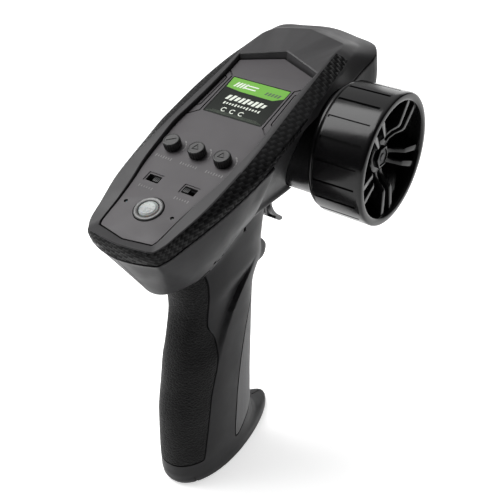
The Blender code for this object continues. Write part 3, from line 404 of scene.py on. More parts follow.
# Head outline, as in the CAD -------------------------------------------------------------
STATIONS = (
    ((0.0, -16.7), (0.0, -17.2, 0.3), (0.0, -21.1, 2.0), (0.0, -22.4, -2.0), (0.0, -23.2, -4.6)),
    ((13.2, -14.5), (13.4, -15.0, 0.3), (14.8, -19.6, 2.0), (15.2, -20.2, -2.0), (14.9, -20.1, -5.2)),
    ((14.0, -12.5), (14.4, -12.9, 0.3), (16.2, -18.3, 0.9), (16.8, -18.8, -3.1), (17.0, -19.0, -5.7)),
    ((14.3, -9.5), (14.7, -9.6, 0.3), (18.2, -15.0, 0.9), (18.5, -16.0, -3.1), (18.6, -16.6, -5.7)),
    ((15.0, -1.0), (15.4, -1.0, 0.5), (20.5, -5.9, 1.1), (21.8, -6.6, -2.9), (22.1, -6.8, -5.2)),
    ((16.3, 9.0), (16.7, 9.0, 0.9), (23.1, 7.1, 1.7), (26.3, 9.3, -1.9), (26.7, 10.5, -4.6)),
    ((18.8, 22.0), (19.2, 22.0, 1.4), (24.0, 20.0, 2.0), (28.4, 21.6, -1.8), (28.8, 22.5, -4.6)),
    ((20.1, 35.0), (20.5, 35.0, 1.8), (24.1, 32.0, 2.0), (29.8, 34.6, -1.9), (30.0, 35.0, -4.6)),
    ((20.9, 46.0), (21.3, 46.0, 2.0), (23.8, 45.0, 2.0), (30.4, 45.3, -1.3), (30.0, 46.0, -4.6)),
    ((20.3, 57.0), (20.7, 57.0, 2.0), (23.3, 56.0, 2.0), (30.5, 56.4, -1.3), (29.4, 56.0, -5.0)),
    ((19.6, 70.0), (20.0, 70.0, 2.0), (22.5, 70.0, 2.0), (30.2, 69.8, -1.3), (29.1, 69.0, -6.4)),
    ((19.5, 84.0), (19.9, 84.0, 2.0), (21.9, 84.0, 2.0), (29.3, 84.6, -1.6), (29.0, 83.0, -8.0)),
    ((19.6, 93.3), (20.4, 95.3, 2.0), (21.4, 96.0, 2.1), (27.8, 97.7, -2.2), (28.9, 95.5, -9.6)),
    ((16.0, 94.7), (16.6, 96.9, 2.1), (20.3, 108.9, 1.3), (25.8, 110.6, -3.4), (28.8, 107.5, -10.9)),
    ((12.0, 96.3), (12.4, 98.6, 2.2), (19.8, 115.0, 0.3), (24.8, 116.4, -3.6), (29.0, 119.0, -11.0)),
    ((9.0, 97.4), (9.3, 99.8, 2.3), (18.6, 120.4, -1.2), (23.9, 121.3, -4.6), (29.0, 130.6, -11.0)),
    ((6.0, 98.6), (6.2, 101.1, 2.4), (17.8, 121.0, -1.2), (22.1, 127.9, -6.7), (26.9, 135.0, -11.0)),
    ((3.0, 99.7), (3.1, 102.3, 2.5), (10.0, 121.4, 0.5), (11.3, 130.0, -5.5), (13.6, 139.6, -11.0)),
    ((0.0, 100.9), (0.0, 103.6, 2.5), (0.0, 123.5, 0.6), (0.0, 132.5, -5.5), (0.0, 141.8, -11.0)),
)
LOWER_CORNERS = (
    (0.0, -41.0, 116.2), (9.0, -38.0, 118.8), (10.6, -36.4, 119.8), (12.6, -33.0, 120.2),
    (14.8, -26.6, 120.8), (15.2, -16.0, 124.5), (15.2, -6.0, 130.0), (15.2, 3.0, 133.6),
    (15.2, 12.0, 134.2), (15.2, 22.0, 134.2), (15.2, 33.0, 134.2), (15.2, 45.0, 134.6),
    (15.6, 58.0, 136.2), (16.5, 70.0, 139.0), (18.0, 80.0, 143.0), (19.5, 87.5, 147.0),
    (17.0, 90.5, 148.0), (9.0, 92.5, 148.6), (0.0, 93.5, 149.0),
)
BULGES = (0.0, 0.0, 0.0, 0.8, 1.6, 2.2, 2.4, 2.0, 0.8, 0.0, 0.0, 0.0, 0.6, 2.0, 3.4, 4.2, 4.4, 4.4, 4.4)
ENDS = (0, len(STATIONS) - 1)
COLUMN = 1.3              # spacing of the columns round the head


def station_lengths():
    """Distance along the bezel edge to each station."""
    lengths = [0.0]
    for a, b in zip(STATIONS, STATIONS[1:]):
        lengths.append(lengths[-1] + math.dist(a[2][:2], b[2][:2]))
    return lengths


LENGTHS = station_lengths()
STEPS = []                # (segment, fraction) of each column of the half loop
for segment in range(len(STATIONS) - 1):
    parts = max(2, round((LENGTHS[segment + 1] - LENGTHS[segment]) / COLUMN))
    STEPS += [(segment, i / parts) for i in range(parts)]
STEPS.append((len(STATIONS) - 2, 1.0))
ALONG = [LENGTHS[s] + (LENGTHS[s + 1] - LENGTHS[s]) * t for s, t in STEPS]


def track(values, corners=()):
    """Smooth curve through one point per station, with kinks at the listed stations."""
    values = np.array(values, float)
    own = np.linalg.norm(np.diff(values, axis=0), axis=1)
    spans = own if values.shape[1] > 1 else np.diff(LENGTHS)
    slopes = np.diff(values, axis=0) / spans[:, None]
    into, out = np.zeros_like(values), np.zeros_like(values)
    for i in range(len(values)):
        if i in corners or i in ENDS:
            into[i] = slopes[max(i - 1, 0)]
            out[i] = slopes[min(i, len(slopes) - 1)]
        else:
            before, after = spans[i - 1], spans[i]
            into[i] = out[i] = (slopes[i - 1] * after + slopes[i] * before) / (before + after)
    for i in ENDS:                # a mirrored outline crosses its middle square on, unless it is an apex
        if i not in corners:
            into[i] = out[i] = [into[i][0] if i else out[i][0]] + [0.0] * (values.shape[1] - 1)
    result = []
    for s, t in STEPS:
        a, b = values[s], values[s + 1]
        t2, t3 = t * t, t * t * t
        result.append(tuple((2 * t3 - 3 * t2 + 1) * a + (t3 - 2 * t2 + t) * spans[s] * out[s]
                            + (3 * t2 - 2 * t3) * b + (t3 - t2) * spans[s] * into[s + 1]))
    return result


PANEL_CORNERS = (0, 1, 2, 12, 13, 14, 15, 16, 17, 18)
EDGE = track([s[0] for s in STATIONS], PANEL_CORNERS)
RIM = track([s[1] for s in STATIONS], PANEL_CORNERS)
BEZEL = track([s[2] for s in STATIONS], (1, 12, 13, 14, 15, 16, 17, 18))
BAND = track([s[3] for s in STATIONS], (17,))
PARTING = track([s[4] for s in STATIONS])
CORNERS = track(LOWER_CORNERS)
SWELL = [b[0] for b in track([(b,) for b in BULGES])]


def mirrored(half):
    return list(half) + [(-p[0], *p[1:]) for p in reversed(half[1:-1])]


# Top cover -------------------------------------------------------------------------------
BAND_END = 112.0          # v at which the woven band stops
WOVEN_UP_TO = {5: BAND_END, 6: BAND_END, 7: 70.0, 8: 66.0, 9: 60.0, 10: 56.0}     # last v of each woven row
MIDDLE_ROW = 6            # row of the section half way down the band
TYPICAL = 40              # column whose section measures the weave across the band


def cover_section(c):
    """Cross-section of the cover at a column, from its inner edge over the top and back below."""
    edge, rim, bezel, band, parting = EDGE[c], RIM[c], BEZEL[c], BAND[c], PARTING[c]
    seat = -2.35
    edge = (*edge, seat)
    thick = towards(edge, parting, 1.9)
    under = rim[2] - 1.9
    inner = towards(edge, parting, 0.5)
    rim_low = (*mix(inner, rim, 0.9)[:2], rim[2] - 0.3)
    rim_high = towards(rim, bezel, 0.3)
    crown = mix(rim, bezel, 0.5)
    round_a = towards(bezel, rim, 0.35)
    round_b = mix(bezel, band, 0.08)
    middle = mix(bezel, band, 0.5)
    outward = towards((*middle[:2], 0.0), (*edge[:2], 0.0), -0.25)
    foot = mix(bezel, band, 0.93)
    below = mix(band, parting, 0.16)
    skirt = mix(band, parting, 0.6)
    lip = mix(band, parting, 0.92)
    tuck = towards(parting, edge, 0.3)
    return [
        inner, rim_low, rim_high, crown, round_a, round_b, (*outward[:2], middle[2] + 0.12), foot,
        below, skirt, lip, tuck,
        towards(parting, edge, 1.8), (*towards(band, edge, 1.8)[:2], band[2] - 0.8),
        (*towards(bezel, edge, 1.2)[:2], bezel[2] - 2.0), (*thick[:2], under),
        (*thick[:2], seat - 1.8), (*towards(edge, parting, -1.8)[:2], seat - 1.8),
        towards(edge, parting, -1.8),
    ]


def boss_hole():
    """Cutter that leaves room for the steering boss."""
    return cylinder("boss_hole", 25.05, (13.0, WHEEL_Y, WHEEL_Z), (40.0, WHEEL_Y, WHEEL_Z), 96)


def make_cover():
    """Top cover: one section swept round the head, with the woven band as its second material."""
    half = [cover_section(c) for c in range(len(STEPS))]
    rows = len(half[0])
    sections = half + [[(-p[0], *p[1:]) for p in s] for s in reversed(half[1:-1])]
    along = ALONG + [-a for a in reversed(ALONG[1:-1])]
    points = [head_point(*p) for s in sections for p in s]
    faces = grid_faces(len(sections), rows, closed_rows=True)
    cover = mesh_object("cover_shell", points, faces, recalc=False)
    mesh = cover.data
    layer = mesh.uv_layers.new(name="band")
    vertex = np.zeros(len(mesh.loops), np.int32)
    mesh.loops.foreach_get("vertex_index", vertex)
    across = np.cumsum([0.0] + [math.dist(a, b) for a, b in zip(half[TYPICAL], half[TYPICAL][1:])])
    uv = np.zeros((len(mesh.loops), 2), np.float32)
    uv[:, 0] = np.array(along)[vertex // rows]
    uv[:, 1] = across[vertex % rows]
    layer.data.foreach_set("uv", uv.ravel())
    mesh.materials.append(LOOKS["shell_cover"])
    mesh.materials.append(WEAVE)
    for index, polygon in enumerate(mesh.polygons):
        column, row = divmod(index, rows)
        polygon.material_index = int(sections[column][MIDDLE_ROW][1] < WOVEN_UP_TO.get(row, -math.inf))
    bm = bmesh.new()
    bm.from_mesh(mesh)
    bmesh.ops.recalc_face_normals(bm, faces=bm.faces)
    bm.to_mesh(mesh)
    bm.free()
    boolean(cover, [boss_hole()])
    smooth(cover, 28.0)
    even = cover.modifiers.new("even", "WEIGHTED_NORMAL")
    even.keep_sharp = True
    baked(cover)
    place(cover, "body", "shell_cover", "top_cover", look=False)


# Housing ---------------------------------------------------------------------------------
GRIP_SECTIONS = (
    (0.0, 14.9, -6.0, 29.8, 46.0, 2.2, 1.72), (1.0, 15.3, -6.0, 30.6, 46.4, 2.2, 1.72),
    (4.0, 15.3, -6.0, 31.8, 46.0, 2.3, 1.72), (6.5, 15.2, -6.5, 31.8, 40.0, 2.3, 2.0),
    (9.0, 15.1, -7.5, 30.9, 33.8, 2.3, 2.2), (13.0, 15.0, -9.0, 29.6, 30.5, 2.25, 2.4),
    (20.0, 15.0, -10.2, 28.3, 29.7, 2.25, 2.5), (40.0, 15.0, -9.9, 28.0, 29.1, 2.2, 2.5),
    (60.0, 15.0, -8.0, 26.3, 27.5, 2.2, 2.5), (80.0, 15.0, -5.8, 24.4, 25.7, 2.2, 2.5),
    (96.0, 15.0, -3.4, 22.5, 23.9, 2.2, 2.5), (101.0, 15.1, -2.6, 23.7, 25.2, 2.2, 2.5),
    (106.0, 15.2, -0.6, 26.4, 28.0, 2.2, 2.5), (112.0, 15.2, -0.8, 27.1, 28.7, 2.2, 2.5),
    (125.0, 15.2, 1.3, 27.0, 28.3, 2.4, 2.5), (136.0, 15.2, 3.0, 28.0, 28.0, 2.5, 2.5),
)


def grip_at(z):
    """Section of the grip at a height, from smooth curves through the listed ones."""
    heights = [s[0] for s in GRIP_SECTIONS]
    z = min(max(z, heights[0]), heights[-1])
    i = min(max(np.searchsorted(heights, z, side="right") - 1, 0), len(heights) - 2)
    table = np.array(GRIP_SECTIONS)
    slopes = np.diff(table, axis=0) / np.diff(table[:, 0])[:, None]

    def tangent(k):
        if k == 0 or k == len(table) - 1:
            return slopes[min(k, len(slopes) - 1)]
        a, b = slopes[k - 1], slopes[k]
        flat = np.where(a * b > 0, 1.0, 0.0)
        return flat * 2 * a * b / np.where(np.abs(a + b) < 1e-9, 1.0, a + b)

    span = table[i + 1, 0] - table[i, 0]
    t = (z - table[i, 0]) / span
    t2, t3 = t * t, t * t * t
    return ((2 * t3 - 3 * t2 + 1) * table[i] + (t3 - 2 * t2 + t) * span * tangent(i)
            + (3 * t2 - 2 * t3) * table[i + 1] + (t3 - t2) * span * tangent(i + 1))


def grip_ring(z, inset=0.0, count=112):
    """Rounded outline of the grip at a height: a superellipse with its own depth and power at each end."""
    _, width, middle, rear, front, rear_power, front_power = grip_at(z)
    ring = []
    for i in range(count):
        turn = 2 * math.pi * i / count
        angle = math.atan2(1.7 * math.sin(turn), math.cos(turn))
        c, s = math.cos(angle), math.sin(angle)
        depth, power = (front, front_power) if s >= 0 else (rear, rear_power)
        w, d = width - inset, depth - inset
        scale = (abs(c / w) ** power + abs(s / d) ** power) ** (-1.0 / power)
        ring.append((c * scale, middle + s * scale, z))
    return ring


def stack(name, rings, side_to_side=False):
    """Closed body through rings; the ends are single faces, or strips from side to side."""
    count = len(rings[0])
    points = [p for ring in rings for p in ring]
    faces = grid_faces(len(rings), count, closed_columns=False, closed_rows=True)
    for start in (0, (len(rings) - 1) * count):
        if not side_to_side:
            faces.append(tuple(range(start, start + count)))
            continue
        for i in range(count // 2):
            strip = (i, i + 1, (count - i - 1) % count, (count - i) % count)
            faces.append([start + k for k in dict.fromkeys(strip)])
    return mesh_object(name, points, faces)


def head_rings():
    """Dense rings of the lower head shell, with a rounded lower corner."""
    fractions = [i / 26 for i in range(25)]
    rings = [[] for _ in range(len(fractions) + 9)]
    for c in range(len(STEPS)):
        u, v, h = PARTING[c]
        top = head_point(u, v, h - 0.4)
        corner, bulge = CORNERS[c], SWELL[c]
        corner = (corner[0] * 1.03, corner[1], corner[2] - 0.8)
        centre = (0.0, min(max(top[1], -20.0), 70.0), 0.0)
        tucked = towards(top, centre, 2.2)
        rings[0].append((*tucked[:2], tucked[2] - 2.0))
        rings[1].append((*towards(top, centre, 1.7)[:2], top[2] - 0.1))
        rings[2].append((*towards(top, centre, 0.35)[:2], top[2] + 0.02))

        def side(t):
            point = mix(top, corner, t)
            return towards(point, centre, -bulge * math.sin(math.pi * t))

        for index, t in enumerate(fractions):
            point = side(t)
            if index == 0:
                point = (*point[:2], point[2] - 0.35)
            rings[3 + index].append(point)
        last, inner = side(fractions[-1]), towards(corner, centre, 3.2)
        for index in range(6):
            t = (index + 1) / 6
            a, b = mix(last, corner, t), mix(corner, inner, t)
            rings[3 + len(fractions) + index].append(mix(a, b, t))
    return [mirrored(ring) for ring in rings]


CREASE = ((129.0, 0.5), (135.8, 3.1), (143.8, 1.2), (152.8, -0.3), (159.6, 3.2))     # z, y
SCOOP = ((70.0, -16.5), (76.6, -14.7), (84.1, -11.3), (91.7, -6.9), (98.7, -0.5), (106.8, 8.0), (114.0, 16.5),
         (124.0, 30.0))                                                              # z, y


def sculpt(co):
    """Moves points of the outer skin: recessed side behind the boss, and the thumb scoop on the neck."""
    x, y, z = co[:, 0], co[:, 1], co[:, 2]
    side = np.sign(x) * np.clip((np.abs(x) - 4.0) / 6.0, 0.0, 1.0)

    def ease(t):
        t = np.clip(t, 0.0, 1.0)
        return t * t * (3 - 2 * t)

    crease = np.interp(z, [p[0] for p in CREASE], [p[1] for p in CREASE])
    ahead = y - crease
    recess = ease(ahead) * (1 - ease((ahead - 34.0) / 26.0)) * ease((z - 134.0) / 5.0)
    swell = ease((ahead + 10.0) / 10.0) * (1 - ease(ahead)) * ease((z - 128.0) / 6.0)
    out = -2.0 * recess + 0.7 * swell
    line = np.interp(z, [p[0] for p in SCOOP], [p[1] for p in SCOOP])
    behind = (line - y) * 0.72            # distance up and back from the scoop's lower edge
    fade = ease((z - 68.0) / 16.0) * (1 - ease((z - 100.0) / 12.0))
    out -= fade * 2.2 * np.where(behind > 0, 1 - ease(behind / 18.0), 1 - ease(-behind / 0.9))
    result = co.copy()
    result[:, 0] += side * out
    return result


def weigh_join(obj, z_range, y_range):
    """Vertex group over the join of grip and head, for smoothing; returns its name."""
    group = obj.vertex_groups.new(name="join")
    co = vertices(obj)
    z, y = co[:, 2], co[:, 1]
    weight = np.clip((z - z_range[0]) / 5.0, 0, 1) * np.clip((z_range[1] - z) / 5.0, 0, 1)
    weight *= np.clip((y - y_range[0]) / 3.0, 0, 1) * np.clip((y_range[1] - y) / 3.0, 0, 1)
    for i in np.nonzero(weight > 0.01)[0]:
        group.add([int(i)], float(weight[i]), "REPLACE")
    return group.name


def vertices(obj):
    """Vertex coordinates in millimetres."""
    co = np.zeros(len(obj.data.vertices) * 3, np.float32)
    obj.data.vertices.foreach_get("co", co)
    return co.reshape(-1, 3).astype(float) / MM


def set_vertices(obj, co):
    obj.data.vertices.foreach_set("co", (co * MM).astype(np.float32).ravel())
    obj.data.update()


def levels(low, high, step):
    count = max(2, round((high - low) / step))
    return [low + (high - low) * i / count for i in range(count + 1)]


VOXEL = 0.55              # mesh size of the housing


def make_outer_skin():
    """Outer form of the housing as one dense, sculpted solid."""
    head = stack("housing_skin", head_rings(), side_to_side=True)
    heights = [0.0, 0.35, 1.0] + levels(2.0, 136.0, 1.4)
    rings = [grip_ring(z) for z in heights]
    rings[0] = grip_ring(0.0, 0.5)
    grip = stack("grip_form", rings)
    rest = ellipsoid("finger_rest", (0.0, 24.4, 103.4), (10.5, 11.4, 5.8))
    boolean(head, [grip, rest], "UNION")
    remesh = head.modifiers.new("remesh", "REMESH")
    remesh.mode, remesh.voxel_size = "VOXEL", VOXEL * MM
    baked(head)
    join = weigh_join(head, (96.0, 133.0), (-36.0, 34.0))
    soft = head.modifiers.new("soften", "SMOOTH")
    soft.factor, soft.iterations, soft.vertex_group = 0.9, 160, join
    light = head.modifiers.new("even", "SMOOTH")
    light.factor, light.iterations = 0.5, 3
    baked(head)
    set_vertices(head, sculpt(vertices(head)))
    return head


def ellipsoid(name, centre, radii):
    bm = bmesh.new()
    where = Matrix.Translation(Vector(centre) * MM) @ Matrix.Diagonal((*[r * MM for r in radii], 1.0))
    bmesh.ops.create_uvsphere(bm, u_segments=48, v_segments=32, radius=1.0, matrix=where)
    mesh = bpy.data.meshes.new(name)
    bm.to_mesh(mesh)
    bm.free()
    obj = bpy.data.objects.new(name, mesh)
    bpy.context.scene.collection.objects.link(obj)
    return obj


# Outlines in (y, z), extruded along x
SIDEWAYS = Matrix(((0, 0, 1, 0), (1, 0, 0, 0), (0, 1, 0, 0), (0, 0, 0, 1)))
REAR_PAD = (
    (-60.0, 14.2), (-31.3, 14.2), (-27.7, 14.2), (-27.0, 15.0), (-26.6, 18.0), (-25.7, 24.0),
    (-24.6, 31.0), (-23.3, 40.0), (-21.6, 51.0), (-19.5, 58.5), (-17.5, 65.0), (-16.0, 72.0),
    (-15.4, 78.0), (-15.7, 81.0), (-16.9, 84.2), (-18.3, 86.6), (-19.1, 89.5), (-19.0, 93.0),
    (-18.7, 98.0), (-18.5, 106.0), (-18.8, 111.5), (-19.6, 115.6), (-21.0, 119.6), (-22.8, 122.9),
    (-24.4, 125.1), (-25.9, 126.0), (-27.4, 125.5), (-29.2, 123.6), (-30.6, 121.6), (-31.4, 119.0),
    (-31.8, 115.6), (-60.0, 114.6))
FRONT_PAD = (
    (60.0, 24.6), (16.0, 24.0), (12.0, 21.8), (9.0, 19.8), (6.0, 18.2), (3.0, 16.4),
    (0.0, 14.6), (-3.0, 13.2), (-4.6, 13.6), (-5.0, 15.5), (-4.7, 22.0), (-3.9, 30.0),
    (-2.9, 40.0), (-1.4, 50.0), (0.6, 60.0), (3.0, 69.0), (5.6, 77.0), (8.9, 84.0),
    (13.0, 90.5), (17.0, 95.5), (21.0, 99.5), (60.0, 99.5))
PAD_GAP = 0.4             # half the seam round a pad


def shrink(outline, distance):
    """Outline moved inwards by a distance."""
    outline = list(outline)
    area = sum(a[0] * b[1] - b[0] * a[1] for a, b in zip(outline, outline[1:] + outline[:1]))
    sign = 1.0 if area > 0 else -1.0
    result = []
    for i, p in enumerate(outline):
        a, b = outline[i - 1], outline[(i + 1) % len(outline)]
        e = Vector((p[0] - a[0], p[1] - a[1])).normalized()
        f = Vector((b[0] - p[0], b[1] - p[1])).normalized()
        n, m = Vector((-e.y, e.x)) * sign, Vector((-f.y, f.x)) * sign
        d = (n + m) / max(1.0 + n.dot(m), 0.4)
        result.append((p[0] + d.x * distance, p[1] + d.y * distance))
    return result


SPLIT = 0.18              # half the seam between the housing halves
SCREWS = ((-36.0, 132.0), (86.0, 166.0), (16.0, 122.0), (8.0, 73.3), (8.0, 57.7))      # y, z


def paint_seam_shade(obj, outline):
    """Paint shade on the walls cut along a sideways outline: they get a dark material that stands in for the
    shade in the seam.
    """
    obj.data.materials.append(SEAM_SHADE_LOOK)
    count = len(obj.data.polygons)
    centres, normals = np.zeros(count * 3, np.float32), np.zeros(count * 3, np.float32)
    obj.data.polygons.foreach_get("center", centres)
    obj.data.polygons.foreach_get("normal", normals)
    places = centres.reshape(-1, 3)[:, 1:] / MM
    nearest = np.full(count, 1e9)
    for a, b in zip(outline, outline[1:] + outline[:1]):
        a, b = np.array(a), np.array(b)
        t = np.clip(((places - a) @ (b - a)) / ((b - a) @ (b - a)), 0.0, 1.0)
        nearest = np.minimum(nearest, np.linalg.norm(places - a - t[:, None] * (b - a), axis=1))
    wall = (nearest < 0.05) & (np.abs(normals.reshape(-1, 3)[:, 0]) < 0.2)
    obj.data.polygons.foreach_set("material_index", wall.astype(np.int32))


def make_housing():
    """Housing and both pads cut from one skin; a core closes the pockets behind the pads."""
    skin = make_outer_skin()
    pads = []
    for name, outline in (("rear_pad_cover", REAR_PAD), ("front_pad_cover", FRONT_PAD)):
        pad = bpy.data.objects.new(name, skin.data.copy())
        bpy.context.scene.collection.objects.link(pad)
        boolean(pad, [prism("keep", shrink(outline, PAD_GAP), -40.0, 40.0, SIDEWAYS)], "INTERSECT")
        pads.append(pad)
    boolean(skin, [prism("pocket", shrink(outline, -PAD_GAP), -40.0, 40.0, SIDEWAYS)
                   for outline in (REAR_PAD, FRONT_PAD)])
    core = stack("core", [grip_ring(z, 2.6, 48) for z in levels(8.0, 112.0, 8.0)])
    boolean(skin, [core], "UNION")
    for pad in pads:
        core = stack("core", [grip_ring(z, 2.2, 48) for z in levels(7.0, 112.5, 8.0)])
        boolean(pad, [core])
    cuts = [box("split", (-SPLIT, low[0], low[1]), (SPLIT, high[0], high[1])) for low, high in (
        ((-70.0, 112.0), (-34.0, 150.0)), ((20.0, 92.0), (36.0, 128.0)), ((80.0, 140.0), (110.0, 190.0)),
        ((30.0, -1.0), (48.0, 14.0)))]
    cuts += [
        box("battery_mouth", (-11.7, -23.6, -1.0), (11.7, 3.6, 3.0)),
        box("trigger_slot", (-5.6, 25.4, 114.0), (5.6, 60.0, 152.0)),
        boss_hole(),
        box("foot_notch", (9.3, -32.0, -1.0), (10.2, -26.0, 5.6)),
    ]
    for y, z, across, high in ((-23.3, 129.4, 0.9, 0.9), (-20.1, 128.6, 0.9, 0.55), (-17.4, 129.8, 0.6, 1.0),
                               (3.4, 130.9, 0.8, 1.4)):
        cuts.append(box("latch_mark", (10.8, y - across, z - high), (40.0, y + across, z + high)))
    for y, z in SCREWS:
        cuts.append(cylinder("recess", 3.0, (-40.0, y, z), (-7.6, y, z), 40))
        cuts.append(cylinder("bore", 1.6, (-8.4, y, z), (9.0, y, z), 24))
    boolean(skin, cuts)
    smooth(skin, 40.0)
    place(skin, "body", "shell_body", "housing_right", "housing_left")
    for pad, end in zip(pads, ("rear", "front")):
        smooth(pad, 50.0)
        place(pad, "body", end + "_pad", end + "_grip_pad")
    # painted shade: the walls of the seam round the front pad are made dark for the shade in the gap
    paint_seam_shade(pads[1], shrink(FRONT_PAD, PAD_GAP))


# Control panel ---------------------------------------------------------------------------
SWITCH_U, SWITCH_V = 9.2, 15.0
KNOB_PITCH, KNOB_V = 13.0, 33.6
LINES = (
    ((19.8, 91.8), (19.5, 85.3), (16.3, 82.5), (16.5, 57.4), (21.6, 52.3)),
    ((21.0, 82.3), (17.9, 80.3), (18.5, 60.9), (21.8, 57.6)),
)


def ribbon(points, width):
    """Closed outline of a line drawn with a width."""
    left, right = [], []
    for i, p in enumerate(points):
        a, b = points[max(i - 1, 0)], points[min(i + 1, len(points) - 1)]
        e = Vector((p[0] - a[0], p[1] - a[1])) if i else Vector((b[0] - p[0], b[1] - p[1]))
        f = Vector((b[0] - p[0], b[1] - p[1])) if i < len(points) - 1 else e
        e.normalize()
        f.normalize()
        n = Vector((-e.y, e.x)) + Vector((-f.y, f.x))
        n /= max(n.length_squared / 2, 0.6)
        left.append((p[0] + n.x * width / 2, p[1] + n.y * width / 2))
        right.append((p[0] - n.x * width / 2, p[1] - n.y * width / 2))
    return left + right[::-1]


def arc(centre, radius, start, end, count):
    angles = [math.radians(start + (end - start) * i / (count - 1)) for i in range(count)]
    return [(centre[0] + radius * math.cos(a), centre[1] + radius * math.sin(a)) for a in angles]


def make_panel():
    panel = prism("panel_plate", shrink(mirrored(EDGE), 0.12), -2.0, 0.0, HEAD)
    soften(panel, 0.15, 2, 60.0)
    cuts = [cylinder("hole", 6.6, (0, 0, -4), (0, 0, 2), 96, HEAD)]
    for side in (-1, 1):
        centre = (side * SWITCH_U, SWITCH_V)
        cuts.append(prism("slot", rounded_rectangle(6.4, 3.7, 0.3, centre), -4.0, 2.0, HEAD))
        cuts.append(prism("frame", rounded_rectangle(7.9, 5.3, 0.5, centre), -0.35, 2.0, HEAD))
        cuts.append(cylinder("led_hole", 0.85, (side * 11.9, 0, -4), (side * 11.9, 0, 2), 32, HEAD))
        for line, width in zip(LINES, (0.62, 0.55)):
            cuts.append(prism("line", ribbon([(side * u, v) for u, v in line], width), -0.9, 2.0, HEAD))
    for index in (-1, 0, 1):
        cuts.append(cylinder("knob_hole", 2.2, (index * KNOB_PITCH, KNOB_V, -4),
                             (index * KNOB_PITCH, KNOB_V, 2), 32, HEAD))
    cuts.append(prism("label_recess", rounded_rectangle(30.6, 24.6, 0.8, (0.0, 70.0)), -0.6, 2.0, HEAD))
    carve(panel, cuts)
    smooth(panel, 25.0)
    place(panel, "body", "panel", "control_panel")


def print_on(name, outlines, low, high, slot, look):
    """One thin piece made of several flat outlines on the panel."""
    place(prisms(name, outlines, low, high, HEAD), "body", slot, look=look)


def bar(u, v, width, height, lean=0.0):
    """Small leaning bar."""
    return [(u - width / 2 - lean, v - height / 2), (u + width / 2 - lean, v - height / 2),
            (u + width / 2 + lean, v + height / 2), (u - width / 2 + lean, v + height / 2)]


def make_panel_print():
    """Scale arcs beside the knobs and plain tick marks under the knobs and switches."""
    marks = []
    for index in (-1, 0, 1):
        centre = (index * KNOB_PITCH, KNOB_V)
        for part in range(4):
            start = 58.0 - part * 17.0
            outer = arc(centre, 5.9 - 0.12 * part, start, start - 13.5, 5)
            inner = arc(centre, 5.25, start - 13.5, start, 5)
            marks.append(outer + inner)
        for k in range(7):
            marks.append(bar(centre[0] - 3.9 + k * 1.3, 26.7, 0.42, 1.0 + (0.5 if k % 3 == 0 else 0.0)))
    for side in (-1, 1):
        for k in range(6):
            marks.append(bar(side * SWITCH_U - 3.25 + k * 1.3, 9.5, 0.38, 0.9 + (0.5 if k % 5 == 0 else 0.0)))
    print_on("panel_marks", marks, -0.02, 0.02, "panel", PRINT)


def make_label():
    plate = prism("label_card", rounded_rectangle(30.2, 24.2, 0.6, (0.0, 70.0)), -0.5, -0.12, HEAD)
    soften(plate, 0.08, 2, 60.0)
    place(plate, "body", "label", "label_plate")
    green = [[(-14.9, 81.9), (14.9, 81.9), (14.8, 76.6), (10.5, 74.0), (-6.5, 74.2), (-14.5, 75.2)]]
    print_on("label_stripe", green, -0.13, -0.09, "label", GREEN)
    pale = [bar(-10.8 + k * 1.6, 78.0, 0.95, 3.2, 0.55) for k in range(4)]
    pale += [bar(-2.6, 78.9, 6.0, 0.7, 0.12), bar(-3.2, 77.0, 6.0, 0.7, 0.12)]
    for k in range(9):
        rise = 2.2 + 1.4 * abs(math.sin(1.1 * k + 0.6))
        pale.append(bar(-9.2 + k * 2.3, 69.4, 1.5, rise, 0.16 * rise))
    pale += [bar(-9.0 + k * 1.5, 65.6, 0.75, 1.1 if k % 4 else 1.6, 0.1) for k in range(13)]
    for u in (-6.5, -2.0, 2.5):
        pale.append(arc((u, 61.6), 1.35, 40, 320, 16) + arc((u, 61.6), 0.9, 320, 40, 16))
    print_on("label_marks", pale, -0.12, -0.07, "label", PALE)
    dull = [bar(5.6 + k * 1.6, 77.2, 0.9, 2.0, 0.35) for k in range(5)]
    dull += [bar(0.0, 58.9 + k * 0.55, 29.0 - k * 3.0, 0.16) for k in range(3)]
    print_on("label_texture", dull, -0.12, -0.075, "label", GREY)


def make_power_button():
    ring = lathe("button_bezel", [(4.35, 0.3), (4.6, 0.5), (5.3, 0.72), (5.8, 0.66), (6.1, 0.45), (6.25, 0.1),
                                  (6.25, -3.2), (4.95, -3.2), (4.95, -0.9), (4.35, -0.9)], HEAD, 96)
    smooth(ring, 50.0)
    place(ring, "body", "button_ring", "power_button_ring")
    cap = lathe("button_cap", [(0.0, 0.78), (1.2, 0.80), (2.0, 0.86), (2.7, 0.95), (3.0, 0.98), (3.25, 0.90),
                               (3.35, 0.72), (3.5, 0.62), (3.8, 0.52), (4.05, 0.32), (4.15, -0.05),
                               (4.15, -1.5), (4.6, -1.8), (4.6, -2.4), (1.2, -2.4), (1.2, -4.5),
                               (0.0, -4.5)], HEAD, 96, closed=False)
    smooth(cap, 60.0)
    place(cap, "power_button", "button_lens", "power_button")


